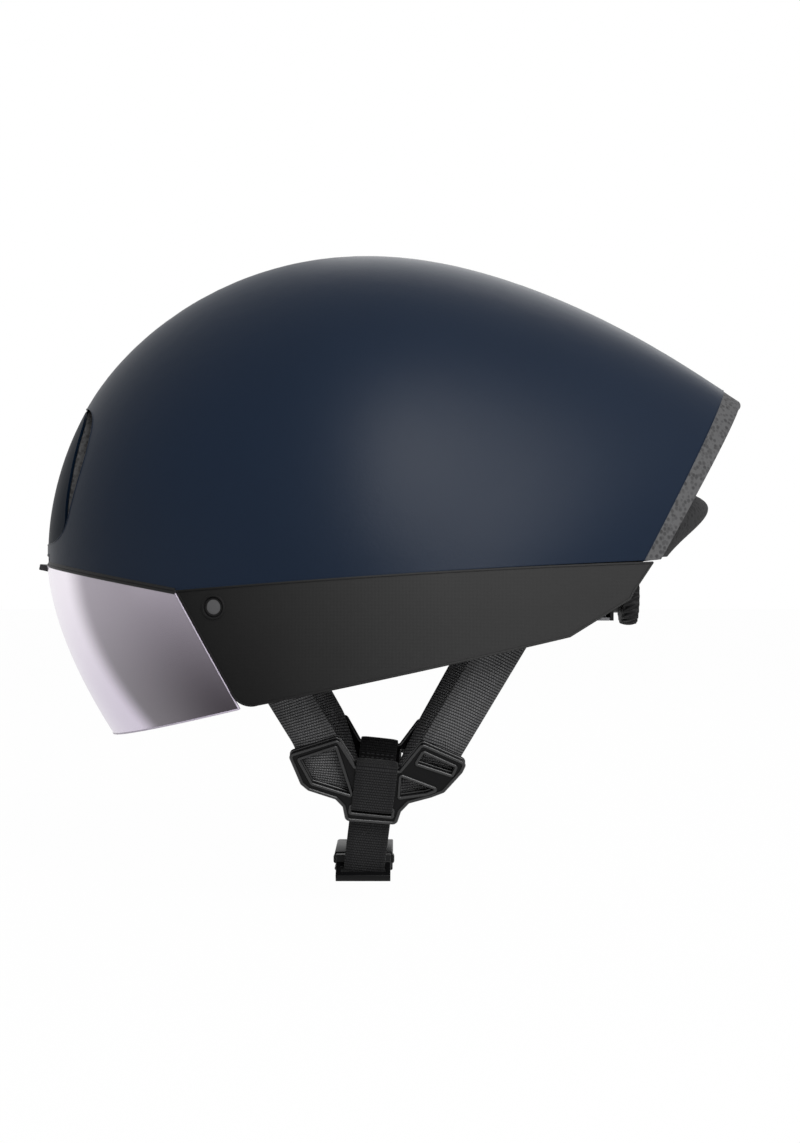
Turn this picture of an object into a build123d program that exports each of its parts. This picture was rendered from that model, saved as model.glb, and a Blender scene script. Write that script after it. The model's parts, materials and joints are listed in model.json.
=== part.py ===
from build123d import *
import math
import os

# An aero time trial helmet: a teardrop shell on a foam liner, ear panels, a lift-off visor, a
# dial retention system and chin webbing. Millimetres. The brow points to -X, the wearer's left
# is -Y, +Z is up, and the origin is the centre of the head opening.

# Teardrop body that the shell, the foam and the panels follow
shell_length = 305.0
brow_reach = 128.7
crown_height = 138.9
body_half_width = 97.0
widest_x = 8.0
belt_drop = 10.0
tail_run = 216.7
fan_x = -4.4
fan_drop = 83.8
flank_tuck = 5.0
flank_depth = 70.0
visor_rake = 29.4
visor_drop = 75.0
brow_level = 4.0
rake_power_share = 1.67
ridge_share = 0.8
ridge_run = 150.0
section_steps = 16
curve_steps = 320

# Crown line in the side view, as shares of the shell's length and of the crown's height
crown_shares = [
    (0.0049, -0.043), (0.0003, 0.072), (0.0079, 0.230), (0.0302, 0.396), (0.0751, 0.581),
    (0.1584, 0.7725), (0.2711, 0.919), (0.4075, 0.9964), (0.5367, 0.992), (0.6698, 0.923),
    (0.7862, 0.8207), (0.9030, 0.6832), (0.9902, 0.5616), (1.0351, 0.4939), (1.0744, 0.4104),
    (1.1039, 0.288),
]

# Corners in the side view, as the same shares
rim_front_share = (0.0023, 0.0302)
temple_share = (0.2177, -0.0533)
seam_middle_share = (0.509, -0.0072)
panel_heel_share = (0.8495, 0.0281)
panel_heel_low_share = (0.8210, -0.0605)
panel_heel_bend_share = (0.8000, -0.1260)
panel_heel_foot_share = (0.7560, -0.1760)
panel_toe_share = (0.3020, -0.3888)
shell_heel_share = (0.8377, 0.0338)
shell_tail_share = (0.9787, 0.581)
foam_heel_share = (0.8620, 0.0360)
foam_tail_share = (1.0003, 0.5328)
lens_foot_share = (0.0964, -0.509)

# Walls and fits
shell_wall = 1.2
foam_gap = 0.3
panel_wall = 2.5
panel_gap = 0.5
panel_corner = 7.0
middle_share = 0.5
toe_turn_share = 0.42
lens_wall = 1.8
lens_level_shares = [0.10, -0.06, -0.22, -0.38, -0.55, -0.75, -1.0]
running_gap = 0.4
contact_gap = 0.3
cut_reach = 120.0
far_reach = 260.0
crown_room = 28.0
shell_foot = 20.0
panel_foot = 62.0

# Head cavity in the foam
cavity_x = -4.0
cavity_half_length = 100.0
foam_side = 17.0
cavity_half_width = body_half_width - foam_side
cavity_height = 111.0
cavity_skirt = 60.0

# Foam edges
foam_front_foot = 4.5
foam_foot = 8.0
foam_notch_front = -75.0
foam_notch_rear = -26.0
foam_rear_x = 35.0
foam_rear_floor = 2.0
foam_rear_side = 14.0
foam_rear_half = cavity_half_width - foam_rear_side
tail_corner = 4.0
tail_bend_rise = 1.3
tail_crest_rise = 6.0
duct_wall = 13.0
duct_floor = 37.5
duct_front_x = 88.0
duct_bend_x = 70.0
duct_bend_z = 76.0
duct_top_x = 46.0
duct_lip_x = 134.0
duct_lip_half = 46.0
heel_wall = 6.0
channel_inner = 26.0
channel_width = 12.0
channel_depth = 6.0
channel_half_length = cavity_half_length + channel_depth
channel_drop = 3.0
channel_height = cavity_height - channel_drop
pocket_lead = 12.0
pocket_front = cavity_x + cavity_half_length - pocket_lead
pocket_half = 38.0
pocket_top = 15.6

# Brow intake: the rim of the opening and the bar inside it, in the front view
intake_half = 43.5
intake_top = 71.5
intake_foot = 11.5
bar_half = 41.0
bar_top = 71.1
bar_foot = 11.9
bar_sink = 0.3
bar_wall = 0.9
intake_rear = -80.0
rim_shares = [
    (0.34, 0.99), (0.64, 0.955), (0.80, 0.89), (0.90, 0.79), (0.977, 0.64), (1.0, 0.44),
    (0.99, 0.26), (0.943, 0.11), (0.83, 0.04), (0.57, 0.005),
]
bar_shares = [
    (0.10, 0.998), (0.34, 0.965), (0.53, 0.915), (0.62, 0.86), (0.705, 0.76), (0.80, 0.60),
    (0.88, 0.41), (0.945, 0.22), (0.965, 0.115), (0.86, 0.04), (0.60, 0.005),
]

# Foam fits and the pieces let into the foam
band_sink = 0.3
tool_overrun = 2.0
foam_toe_x = 112.0
rail_groove_half = 11.0
rail_bed = 2.0
rail_groove_x = cavity_x + cavity_half_length + rail_bed
rail_groove_top = 52.0
rail_groove_front = 60.0
lip_reach = 162.7
lip_top = 38.0
lip_foot = 6.4
lip_half = 45.0
shoulder_reach_share = 0.45
shoulder_half_share = 0.86
lip_shares = [
    (0.0, 0.30, 0.98), (0.34, 0.72, 1.0), (0.62, 1.0, 0.88), (0.82, 0.90, 0.66), (1.0, 0.55, 0.40),
]

# Brow trim and the visor's brow dock
trim_height = 1.2
trim_depth = 5.0
dock_half = 22.0
dock_rear = -119.6
dock_foot = 3.2
dock_top = 7.0
dock_sink = 0.4
clip_half = 8.0
clip_foot = -3.0
clip_top = 1.8
pull_half = 7.0
pull_length = 3.6
pull_thickness = 2.6
pull_level = 1.3
pull_tilt = 12.0

# Ear panel button, its dock and the visor's side tabs
button_x = -47.2
button_z = -14.1
button_radius = 3.1
button_clearance = 0.25
button_sink = 0.35
dish_radius = 4.6
dish_depth = 0.6
dock_inset = 16.9
dock_plane = body_half_width - dock_inset
side_dock_radius = 6.0
dock_seat = 0.05
magnet_radius = 4.0
magnet_length = 2.0
magnet_fit = 0.05
magnet_air = 0.5
tab_outer = dock_plane - magnet_air
tab_wall = 2.6
tab_front = -78.0
tab_rear = -40.0
tab_half_height = 5.2

# Comfort pads
pad_wall = 6.0
pad_gap = 0.3
brow_pad_rear = -58.0
brow_pad_foot = 4.0
brow_pad_top = 30.0
crown_pad_half_length = 58.0
crown_pad_half_width = 11.0
side_pad_edge = 18.0
side_pad_width = 18.0
side_pad_outer = cavity_half_width - side_pad_edge
side_pad_inner = side_pad_outer - side_pad_width
side_pad_half_length = 40.0

# Height rail, its carriage and the tongue that carries the cradle
rail_head_half = 7.0
rail_depth = 4.4
rail_head_x = rail_groove_x - rail_depth
rail_head_wall = 1.8
rail_web_half = 4.0
rail_foot = 16.0
rail_top = 50.0
carriage_gap = 0.3
carriage_wall = 2.3
carriage_foot = 20.0
carriage_height = 16.0
carriage_lip = 1.3
tongue_half = 8.5
tongue_foot = 3.2
tongue_wall = 2.0
tongue_run = 19.0
tongue_rear = rail_groove_x + tongue_run
stem_half = 3.6

# Cradle behind the head
cradle_side_gap = 20.0
cradle_half = cavity_half_width - cradle_side_gap
cradle_front = 42.0
cradle_run = 12.0
cradle_rear = rail_groove_x + cradle_run
cradle_bow = 32.0
cradle_bend_x = cradle_rear - cradle_bow
cradle_wall = 2.5
cradle_foot = -22.0
cradle_top = 0.0
arm_foot = -18.0
arm_top = -9.0
cradle_hub_half = 30.0
cradle_taper = 10.0
hook_wall = 2.4
hook_reach = 2.2
hook_back = 1.0
hook_rear = cradle_rear - hook_back
hook_length = 8.0
hook_front = hook_rear - hook_length
hook_root = 1.8
nape_wall = 5.0
nape_inner = 5.0
nape_outer = 31.0
nape_margin = 2.5

# Dial, its housing and the racks
dial_z = -10.3
pitch_radius = 5.0
tooth_count = 10
tooth_addendum = 0.9
tooth_dedendum = 1.25
tooth_share = 0.19
tooth_tip_share = 0.5
tooth_root_share = 1.35
rack_back = 9.0
rack_depth = 3.0
rack_seat = 2.0
rack_front = cradle_rear + rack_seat
rack_tail = 2.0
rack_length = 31.0
rack_gap = 0.3
housing_half = 31.0
well_depth = 4.4
housing_rear = rack_front + well_depth
housing_wall = 1.4
cover_wall = 1.6
cover_boss_radius = 8.0
cover_boss_length = 7.2
cover_boss_rear = housing_rear + cover_boss_length
shaft_radius = 3.0
shaft_clearance = 0.08
knob_gap = 0.8
knob_front = cover_boss_rear + knob_gap
knob_length = 7.2
knob_rear = knob_front + knob_length
knob_radius = 13.0
knob_flute_depth = 0.7
knob_flutes = 22
knob_flute_shares = [(0.0, 0.0), (0.34, 0.0), (0.5, 1.0), (0.84, 1.0)]
knob_recess_radius = 7.5
knob_recess_depth = 1.6
screw_radius = 2.6
screw_head = 1.2

# Side belts
belt_wall = 1.5
belt_gap = 0.4
belt_foot = -12.0
belt_top = -2.0
belt_front = -24.0
belt_rear = 55.0
pin_x = -15.0
pin_z = -5.0
pin_radius = 1.6
pin_head_radius = 2.8
pin_head_wall = 1.2
pin_clearance = 0.05
pin_depth = 8.0

# Webbing
web_width = 18.0
web_wall = 1.4
front_anchor_inset = 8.0
rear_anchor_inset = 10.5
front_anchor = (-44.0, front_anchor_inset - cavity_half_width, -9.0)
rear_anchor = (78.5, rear_anchor_inset - cavity_half_width, -13.0)
anchor_wall = 2.2
anchor_depth = 9.0
anchor_fit = 0.3
anchor_entry = 5.0

# Divider: its plane, its outline and its windows as shares of its half-width and its drop
divider_head = (17.2, -54.0, -80.3)
divider_foot = (14.4, -44.6, -103.0)
divider_half = 36.3
divider_drop = 27.0
divider_wall = 3.0
divider_corner = 1.6
divider_shares = [
    (-1.0, 0.02), (-0.482, 0.356), (-0.253, -0.075), (0.270, -0.075), (0.480, 0.43), (0.992, 0.18),
    (0.96, 0.03), (0.79, -0.335), (0.655, -0.44), (0.405, -0.585), (0.318, -0.76), (0.29, -0.98),
    (-0.27, -1.0), (-0.318, -0.77), (-0.42, -0.64), (-0.745, -0.533), (-0.83, -0.445),
]
left_window_shares = [(-0.905, -0.03), (-0.49, 0.255), (-0.235, -0.585), (-0.72, -0.435)]
slot_shares = [(0.50, 0.315), (0.905, 0.115), (0.87, -0.055), (0.435, 0.09)]
right_window_shares = [(0.275, -0.13), (0.735, -0.315), (0.60, -0.42), (0.29, -0.535)]
foot_slot_half_share = 0.250
foot_slot_shares = (-0.745, -0.885)

# Webbing on the divider, as places across it and down it
front_web_shares = [((-0.964, -0.110), (-0.496, -0.378)), ((-0.788, 0.541), (-0.155, 0.70))]
rear_web_shares = [((0.482, -0.444), (0.953, -0.233)), ((0.207, 0.704), (0.788, 0.407))]
web_seat = 0.3
chin_width = 17.4
chin_bend = 0.8
chin_top = 0.4
chin_back_share = 0.44
chin_slot_shares = (0.793, 0.837)
chin_exit_share = 1.05
chin_near_end = 54.4
chin_far_turn = (50.0, -13.9)
chin_far_end = (54.0, -12.3)

# Buckle
buckle_x = 10.9
buckle_z = -125.5
female_half = 12.6
female_front = -20.0
female_rear = 27.4
female_half_height = 4.0
female_wall = 1.6
female_tail_half_height = 2.6
female_mouth_half = 10.2
female_cavity_rear = 15.0
female_window_rear = -3.4
web_slot = 3.4
web_slot_half = 9.6
buckle_bar = 3.6
male_base_front = -26.4
male_base_rear = -20.6
male_half = 11.7
male_frame_length = 10.5
male_frame_wall = 3.2
male_frame_turn = 30.0
male_frame_root = 2.0
male_slot_place = 6.1
guide_half = 2.4
guide_tip = 9.0
prong_inner = 6.3
prong_wall = 2.2
prong_half_height = 1.9
prong_head = 13.3
prong_head_front = -14.5
prong_tip = -4.0
prong_pivot_y = -19.15


def side_point(share):
    """A place in the side view from its shares of the shell's length and crown height."""
    return -brow_reach + share[0] * shell_length, share[1] * crown_height


def smooth(value):
    """A smooth step from zero to one."""
    held = min(1.0, max(0.0, value))
    return held * held * (3 - 2 * held)


def reach_at(z):
    """How far the front of the body stands before its widest place at a height."""
    drop = max(0.0, brow_level - z)
    return brow_reach + widest_x - visor_rake * (drop / visor_drop) ** rake_power_share


def half_at(z):
    """The body's greatest half-width at a height."""
    drop = max(0.0, -belt_drop - z)
    return body_half_width - flank_tuck * (drop / (flank_depth - belt_drop)) ** 2


def flank(x, z, inset):
    """The body's half-width below the crown, drawn inwards by an inset."""
    half = half_at(z)
    if x > widest_x:
        return half * math.cos(math.pi / 2 * (x - widest_x) / tail_run) - inset
    share = min(1.0, (widest_x - x) / (reach_at(z) - inset))
    return (half - inset) * math.sqrt(1 - share * share)


def section(number, inset, foot):
    """Points of one cross-section, in the plane that fans from the line under the body."""
    x, z = side_point(crown_shares[number])
    before = side_point(crown_shares[max(number - 1, 0)])
    after = side_point(crown_shares[min(number + 1, len(crown_shares) - 1)])
    run = math.hypot(after[0] - before[0], after[1] - before[1])
    normal = ((before[1] - after[1]) / run, (after[0] - before[0]) / run)
    radius = math.hypot(x - fan_x, z + fan_drop)
    out = ((x - fan_x) / radius, (z + fan_drop) / radius)
    radius -= inset / (out[0] * normal[0] + out[1] * normal[1])
    crown_x = fan_x + radius * out[0]
    crown_z = -fan_drop + radius * out[1]
    crown_plan = max(0.0, flank(crown_x, crown_z, inset))
    power = 2 - ridge_share * smooth(crown_x / ridge_run)
    low = (fan_drop - foot) / out[1]

    def place(step):
        r = radius - (radius - low) * (step / curve_steps) ** 2
        px, pz = fan_x + r * out[0], -fan_drop + r * out[1]
        wide = flank(px, pz, inset)
        if pz > -belt_drop:
            rise = (pz + belt_drop) / (crown_z + belt_drop)
            wide = math.sqrt(max(0.0, wide * wide - crown_plan ** 2 * rise ** power))
        return Vector(px, -wide, pz)

    dense = [place(step) for step in range(curve_steps + 1)]
    lengths = [0.0]
    for first, second in zip(dense, dense[1:]):
        lengths.append(lengths[-1] + (second - first).length)
    near, at = [], 0
    for step in range(section_steps + 1):
        goal = lengths[-1] * step / section_steps
        while at < curve_steps - 1 and lengths[at + 1] < goal:
            at += 1
        part = (goal - lengths[at]) / (lengths[at + 1] - lengths[at])
        near.append(dense[at] + (dense[at + 1] - dense[at]) * part)
    far = [Vector(p.X, -p.Y, p.Z) for p in near[1:]]
    return near[::-1] + far


def body(inset, foot):
    """The whole teardrop as one solid, drawn inwards by an inset."""
    rings = []
    for number in range(len(crown_shares)):
        points = section(number, inset, foot)
        rings.append(Wire([Edge.make_spline(points), Edge.make_line(points[-1], points[0])]))
    return Solid.make_loft(rings)


def skin(outer_inset, inner_inset, foot):
    """A curved sheet of the body between two insets."""
    rings = []
    for number in range(len(crown_shares)):
        outer = section(number, outer_inset, foot)
        inner = section(number, inner_inset, foot)
        rings.append(Wire([
            Edge.make_spline(outer), Edge.make_line(outer[-1], inner[-1]),
            Edge.make_spline(inner[::-1]), Edge.make_line(inner[0], outer[0]),
        ]))
    return Solid.make_loft(rings)


def side_at(point):
    """A side-view place on the plane where side cutters start."""
    return Vector(point[0], -cut_reach, point[1])


def side_line(*points):
    """Straight edges through side-view places."""
    return [Edge.make_line(side_at(a), side_at(b)) for a, b in zip(points, points[1:])]


def side_arc(start, middle, end):
    """An arc through three side-view places."""
    return [Edge.make_three_point_arc(side_at(start), side_at(middle), side_at(end))]


def side_cutter(edges):
    """A prism right across the body from side-view edges."""
    return Solid.extrude(Face(Wire(edges)), Vector(0, 2 * cut_reach, 0))


def block(low, high):
    """A box between two corners."""
    size = [b - a for a, b in zip(low, high)]
    return Pos(*low) * Box(*size, align=(Align.MIN, Align.MIN, Align.MIN))


def raised(point, rise):
    """A side-view place moved up."""
    return point[0], point[1] + rise


def solids_of(shape):
    """The solids of a result, largest first."""
    return sorted(shape.solids(), key=lambda solid: -solid.volume)


def mirrored(shape):
    """The same shape on the wearer's right."""
    return shape.mirror(Plane.XZ)


parts = {}

# Side-view lines shared by the shell, the trim, the foam, the lens and the panels
rim_front = side_point(rim_front_share)
temple = side_point(temple_share)
seam_middle = side_point(seam_middle_share)
panel_heel = side_point(panel_heel_share)
panel_toe = side_point(panel_toe_share)
shell_heel = side_point(shell_heel_share)
shell_tail = side_point(shell_tail_share)
foam_heel = side_point(foam_heel_share)
foam_tail = side_point(foam_tail_share)
lens_foot = side_point(lens_foot_share)
rim_slope = (temple[1] - rim_front[1]) / (temple[0] - rim_front[0])
rim_start_x = -brow_reach - panel_corner
above = crown_height + crown_room


def rim_at(x):
    """Height of the shell's front rim line."""
    return temple[1] + rim_slope * (x - temple[0])


def along(start, end, reach):
    """A place on the line from start through end, a share of the way."""
    return start[0] + (end[0] - start[0]) * reach, start[1] + (end[1] - start[1]) * reach


rim_start = (rim_start_x, rim_at(rim_start_x))
tail_high = along(shell_heel, shell_tail, crown_height / shell_tail[1])

# Outer shell
shell_edges = side_line(rim_start, temple)
shell_edges += side_arc(temple, raised(seam_middle, panel_gap / 2), shell_heel)
shell_edges += side_line(shell_heel, tail_high, (tail_high[0], above), (rim_start_x, above), rim_start)
shell_cutter = side_cutter(shell_edges)


def front_outline(half, foot, top, shares):
    """A closed, smooth front-view outline, the same on both sides."""
    height = top - foot
    near = [(-wide * half, foot + up * height) for wide, up in shares]
    far = [(-y, z) for y, z in reversed(near)]
    ring = [Vector(-far_reach, y, z) for y, z in [(0, top)] + near + [(0, foot)] + far]
    return Face(Wire(Edge.make_spline(ring, periodic=True)))


intake_run = Vector(far_reach + intake_rear, 0, 0)
intake_prism = Solid.extrude(front_outline(intake_half, intake_foot, intake_top, rim_shares), intake_run)
bar_prism = Solid.extrude(front_outline(bar_half, bar_foot, bar_top, bar_shares), intake_run)
dock_notch = block(
    (rim_start_x, -dock_half - running_gap, dock_foot - running_gap),
    (dock_rear + running_gap, dock_half + running_gap, dock_top + running_gap),
)
parts["outer_shell"] = (skin(0, shell_wall, shell_foot) & shell_cutter) - intake_prism - dock_notch
parts["nose_bar"] = skin(bar_sink, bar_sink + bar_wall, shell_foot) & bar_prism

# Foam liner: the teardrop, rebated for the shell, the bar and the panels, then hollowed
foam_skin = shell_wall + foam_gap
foam_edges = side_line(
    rim_start, (foam_notch_front, rim_at(foam_notch_front)), (foam_notch_front, -foam_front_foot),
    (foam_notch_rear, -foam_front_foot), (foam_notch_rear, -foam_foot), (foam_toe_x, -foam_foot),
    raised(shell_heel, -panel_gap), foam_heel, along(foam_heel, foam_tail, 1 - tail_corner / foam_tail[1]),
)
tail_bend = raised(foam_tail, tail_bend_rise)
tail_crest = (foam_tail[0] - tail_corner, foam_tail[1] + tail_crest_rise)
foam_edges += side_arc(along(foam_heel, foam_tail, 1 - tail_corner / foam_tail[1]), tail_bend, tail_crest)
foam_edges += side_line(tail_crest, (tail_crest[0] - tail_corner, above), (rim_start_x, above), rim_start)
below = -flank_depth - cavity_skirt
panel_zone = side_line((rim_start_x, below), (rim_start_x, temple[1]), temple)
panel_zone += side_arc(temple, raised(seam_middle, panel_gap / 2), shell_heel)
panel_zone += side_line(shell_heel, (far_reach, shell_heel[1]), (far_reach, below), (rim_start_x, below))
heel_past = (shell_heel[0] + foam_gap, shell_heel[1])
tail_past = (tail_high[0] + foam_gap, tail_high[1])
shell_zone = side_line(
    (rim_start_x, below), (heel_past[0], below), heel_past, tail_past, (tail_past[0], above),
    (rim_start_x, above), (rim_start_x, below),
)
cavity_crown = Pos(cavity_x, 0, 0) * scale(
    Sphere(1), by=(cavity_half_length, cavity_half_width, cavity_height)
)
cavity_well = Pos(cavity_x, 0, 0) * extrude(Ellipse(cavity_half_length, cavity_half_width), -cavity_skirt)
duct_front = [
    (far_reach, duct_floor), (duct_front_x, duct_floor), (duct_bend_x, duct_bend_z),
    (duct_top_x, channel_height), (duct_front_x, above), (far_reach, above), (far_reach, duct_floor),
]
channel_disc = Pos(cavity_x, 0, 0) * Rot(90, 0, 0) * extrude(
    Ellipse(channel_half_length, channel_height), channel_width / 2, both=True
)
channel_middle = channel_inner + channel_width / 2
belt_pin_hole = Pos(pin_x, 0, pin_z) * Rot(90, 0, 0) * Cylinder(
    pin_radius + pin_clearance, 2 * (cavity_half_width + pin_depth)
)
foam = body(band_sink, shell_foot) & side_cutter(foam_edges)
foam = foam - (skin(-tool_overrun, foam_skin, shell_foot - tool_overrun) & side_cutter(shell_zone))
panel_skin = skin(-tool_overrun, panel_wall + foam_gap, shell_foot - tool_overrun)
foam = foam - (panel_skin & side_cutter(panel_zone))
foam = foam - (skin(-tool_overrun, bar_sink + bar_wall + foam_gap, shell_foot) & intake_prism)
foam = foam - [cavity_crown, cavity_well, belt_pin_hole, dock_notch]
foam = foam - (body(duct_wall, shell_foot) & side_cutter(side_line(*duct_front)))
foam = foam - [
    Pos(0, -channel_middle, 0) * channel_disc, Pos(0, channel_middle, 0) * channel_disc,
    block((foam_rear_x, -foam_rear_half, below), (far_reach, foam_rear_half, foam_rear_floor)),
    body(heel_wall, shell_foot) & block(
        (duct_lip_x, -duct_lip_half, below), (far_reach, duct_lip_half, duct_floor)
    ),
    block((pocket_front, -pocket_half, below), (duct_lip_x, pocket_half, pocket_top)),
    block((rail_groove_front, -rail_groove_half, 0), (rail_groove_x, rail_groove_half, rail_groove_top)),
    intake_prism - bar_prism,
]
parts["eps_liner"] = solids_of(foam)[0]

# Exhaust lip: a foam tongue under the tail opening, rounded in plan
lip_rings = []
for up, reach, wide in lip_shares:
    z = lip_foot + up * (lip_top - lip_foot)
    front, rear = duct_lip_x, duct_lip_x + reach * (lip_reach - duct_lip_x)
    half = wide * lip_half
    shoulder = front + (rear - front) * shoulder_reach_share
    bend = half * shoulder_half_share
    arc = Edge.make_spline(
        [Vector(front, -half, z), Vector(shoulder, -bend, z), Vector(rear, 0, z),
         Vector(shoulder, bend, z), Vector(front, half, z)]
    )
    lip_rings.append(Wire([arc, Edge.make_line(Vector(front, half, z), Vector(front, -half, z))]))
parts["exhaust_lip"] = Solid.make_loft(lip_rings)

# Ear panels
heel_low = side_point(panel_heel_low_share)
heel_bend = side_point(panel_heel_bend_share)
heel_foot = side_point(panel_heel_foot_share)
panel_top = [raised(temple, -panel_gap)]
panel_top += [raised(place, -panel_gap / 2) for place in (seam_middle, panel_heel)]
toe_back = along(panel_toe, heel_foot, panel_corner / (heel_foot[0] - panel_toe[0]))
toe_up = along(panel_toe, temple, panel_corner / (temple[1] - panel_toe[1]))
toe_turn = along(panel_toe, along(toe_back, toe_up, middle_share), toe_turn_share)
panel_edges = side_arc(*panel_top) + side_line(panel_top[2], heel_low)
panel_edges += side_arc(heel_low, heel_bend, heel_foot)
panel_edges += side_line(heel_foot, toe_back) + side_arc(toe_back, toe_turn, toe_up)
panel_edges += side_line(toe_up, panel_top[0])
panels = skin(0, panel_wall, panel_foot) & side_cutter(panel_edges)
button_y = -flank(button_x, button_z, 0)
button_rise = flank(button_x + button_radius, button_z, 0) - flank(button_x - button_radius, button_z, 0)
button_slope = button_rise / (2 * button_radius)
button_plane = Plane(
    origin=(button_x, button_y, button_z), z_dir=(-button_slope, -1, 0), x_dir=(1, -button_slope, 0)
)
button_hole = button_plane * Cylinder(button_radius + button_clearance, 4 * panel_wall)
button_dish = button_plane * Pos(0, 0, -dish_depth) * Cylinder(
    dish_radius, panel_wall, align=(Align.CENTER, Align.CENTER, Align.MIN)
)
near_panel = [solid for solid in solids_of(panels) if solid.center().Y < 0][0]
near_panel = near_panel - button_hole - button_dish
parts["ear_panel_left"] = near_panel
parts["ear_panel_right"] = mirrored(near_panel)

# Buttons in the panels, and the docks with magnets that hold the visor's tabs
inside_panel = body(panel_wall + dock_seat, panel_foot)
cap = (button_plane * Cylinder(button_radius, 4 * panel_wall)) & skin(button_sink, panel_wall, panel_foot)
cap = [solid for solid in solids_of(cap) if solid.center().Y < 0][0]
dock_run = body_half_width - dock_plane
side_dock = (Pos(button_x, -dock_plane - dock_run / 2, button_z) * Rot(90, 0, 0) * Cylinder(
    side_dock_radius, dock_run)) & inside_panel
magnet_seat = Pos(button_x, -dock_plane - magnet_length / 2, button_z) * Rot(90, 0, 0)
side_dock = side_dock - magnet_seat * Cylinder(magnet_radius + magnet_fit, magnet_length)
dock_magnet = magnet_seat * Cylinder(magnet_radius, magnet_length)
for side, place in (("left", lambda shape: shape), ("right", mirrored)):
    parts[f"panel_button_{side}"] = place(cap)
    parts[f"visor_dock_{side}"] = place(side_dock)
    parts[f"dock_magnet_{side}"] = place(dock_magnet)

# Trim under the shell's front rim, and the dock in the middle of the brow
rim_end = temple[0] - panel_gap
trim_edges = side_line(
    rim_start, (rim_end, rim_at(rim_end)), (rim_end, rim_at(rim_end) - trim_height),
    raised(rim_start, -trim_height), rim_start,
)
parts["brow_trim"] = (skin(foam_gap, trim_depth, shell_foot) & side_cutter(trim_edges)) - dock_notch
parts["brow_dock"] = body(dock_sink, shell_foot) & block(
    (rim_start_x, -dock_half, dock_foot), (dock_rear, dock_half, dock_top)
)


def lens_ring(z):
    """A level slice through the lens."""
    def curve(inset):
        reach, half = reach_at(z) - inset, half_at(z) - inset
        turn = math.acos((widest_x - foam_notch_rear) / reach)
        angles = [turn * (2 * step / section_steps - 1) for step in range(section_steps + 1)]
        return [Vector(widest_x - reach * math.cos(a), half * math.sin(a), z) for a in angles]
    outer, inner = curve(0), curve(lens_wall)
    return Wire([
        Edge.make_spline(outer), Edge.make_line(outer[-1], inner[-1]),
        Edge.make_spline(inner[::-1]), Edge.make_line(inner[0], outer[0]),
    ])


# Visor: lens, pull tab, brow clip, side tabs and their magnets
lens_body = Solid.make_loft([lens_ring(share * visor_drop) for share in lens_level_shares])
lens_drop = trim_height + contact_gap
lens_top = (temple[0] - panel_gap, rim_at(temple[0] - panel_gap) - lens_drop)
lens_heel = (panel_toe[0] - panel_gap, panel_toe[1] - panel_gap)
lens_low = along(lens_heel, lens_foot, (lens_heel[0] - rim_start_x) / (lens_heel[0] - lens_foot[0]))
lens_start = raised(rim_start, -lens_drop)
lens_edges = side_line(lens_start, lens_top, lens_heel, lens_low, lens_start)
lens = lens_body & side_cutter(lens_edges)
parts["visor_lens"] = lens
pull = Pos(-brow_reach, 0, pull_level) * Rot(0, pull_tilt, 0) * Box(
    2 * pull_length, 2 * pull_half, pull_thickness
)
parts["visor_pull_tab"] = sorted((pull - lens).solids(), key=lambda solid: solid.center().X)[0]
clip = block((rim_start_x, -clip_half, clip_foot), (dock_rear, clip_half, clip_top)) - lens
parts["visor_brow_clip"] = sorted(clip.solids(), key=lambda solid: -solid.center().X)[0]
tab = block(
    (tab_front, -tab_outer, button_z - tab_half_height),
    (tab_rear, -tab_outer + tab_wall, button_z + tab_half_height),
) - lens
tab = sorted(tab.solids(), key=lambda solid: -solid.center().X)[0]
tab_seat = Pos(button_x, -tab_outer + magnet_length / 2, button_z) * Rot(90, 0, 0)
tab = tab - tab_seat * Cylinder(magnet_radius + magnet_fit, magnet_length)
tab_magnet = tab_seat * Cylinder(magnet_radius, magnet_length)
for side, place in (("left", lambda shape: shape), ("right", mirrored)):
    parts[f"visor_tab_{side}"] = place(tab)
    parts[f"visor_magnet_{side}"] = place(tab_magnet)


def cavity_layer(inset):
    """The head cavity's crown drawn inwards."""
    return Pos(cavity_x, 0, 0) * scale(Sphere(1), by=(
        cavity_half_length - inset, cavity_half_width - inset, cavity_height - inset
    ))


# Comfort pads inside the crown
pad_shell = cavity_layer(pad_gap) - cavity_layer(pad_gap + pad_wall)
parts["brow_pad"] = pad_shell & block(
    (-brow_reach, -cavity_half_width, brow_pad_foot), (brow_pad_rear, cavity_half_width, brow_pad_top)
)
parts["crown_pad"] = pad_shell & block(
    (-crown_pad_half_length, -crown_pad_half_width, 0),
    (crown_pad_half_length, crown_pad_half_width, cavity_height),
)
side_pad = pad_shell & block(
    (-side_pad_half_length, -side_pad_outer, 0), (side_pad_half_length, -side_pad_inner, cavity_height)
)
parts["side_pad_left"] = side_pad
parts["side_pad_right"] = mirrored(side_pad)

# Height rail on the foam and the carriage that slides on it
rail_head = block(
    (rail_head_x, -rail_head_half, rail_foot), (rail_head_x + rail_head_wall, rail_head_half, rail_top)
)
rail_web = block(
    (rail_head_x + rail_head_wall, -rail_web_half, rail_foot), (rail_groove_x, rail_web_half, rail_top)
)
parts["height_rail"] = rail_head + rail_web
plate_rear = rail_head_x - carriage_gap
plate_front = plate_rear - carriage_wall
carriage_top = carriage_foot + carriage_height
carriage_half = rail_head_half + carriage_gap + carriage_lip
lip_front = rail_head_x + rail_head_wall + carriage_gap
carriage = block((plate_front, -carriage_half, carriage_foot), (plate_rear, carriage_half, carriage_top))
for turn in (-1, 1):
    edge = rail_head_half + carriage_gap
    lip_rear = lip_front + carriage_lip
    wall = block((plate_rear, edge, carriage_foot), (lip_rear, carriage_half, carriage_top))
    hook = block((lip_front, rail_web_half + carriage_gap, carriage_foot), (lip_rear, edge, carriage_top))
    carriage += wall + hook if turn > 0 else mirrored(wall + hook)
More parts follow.
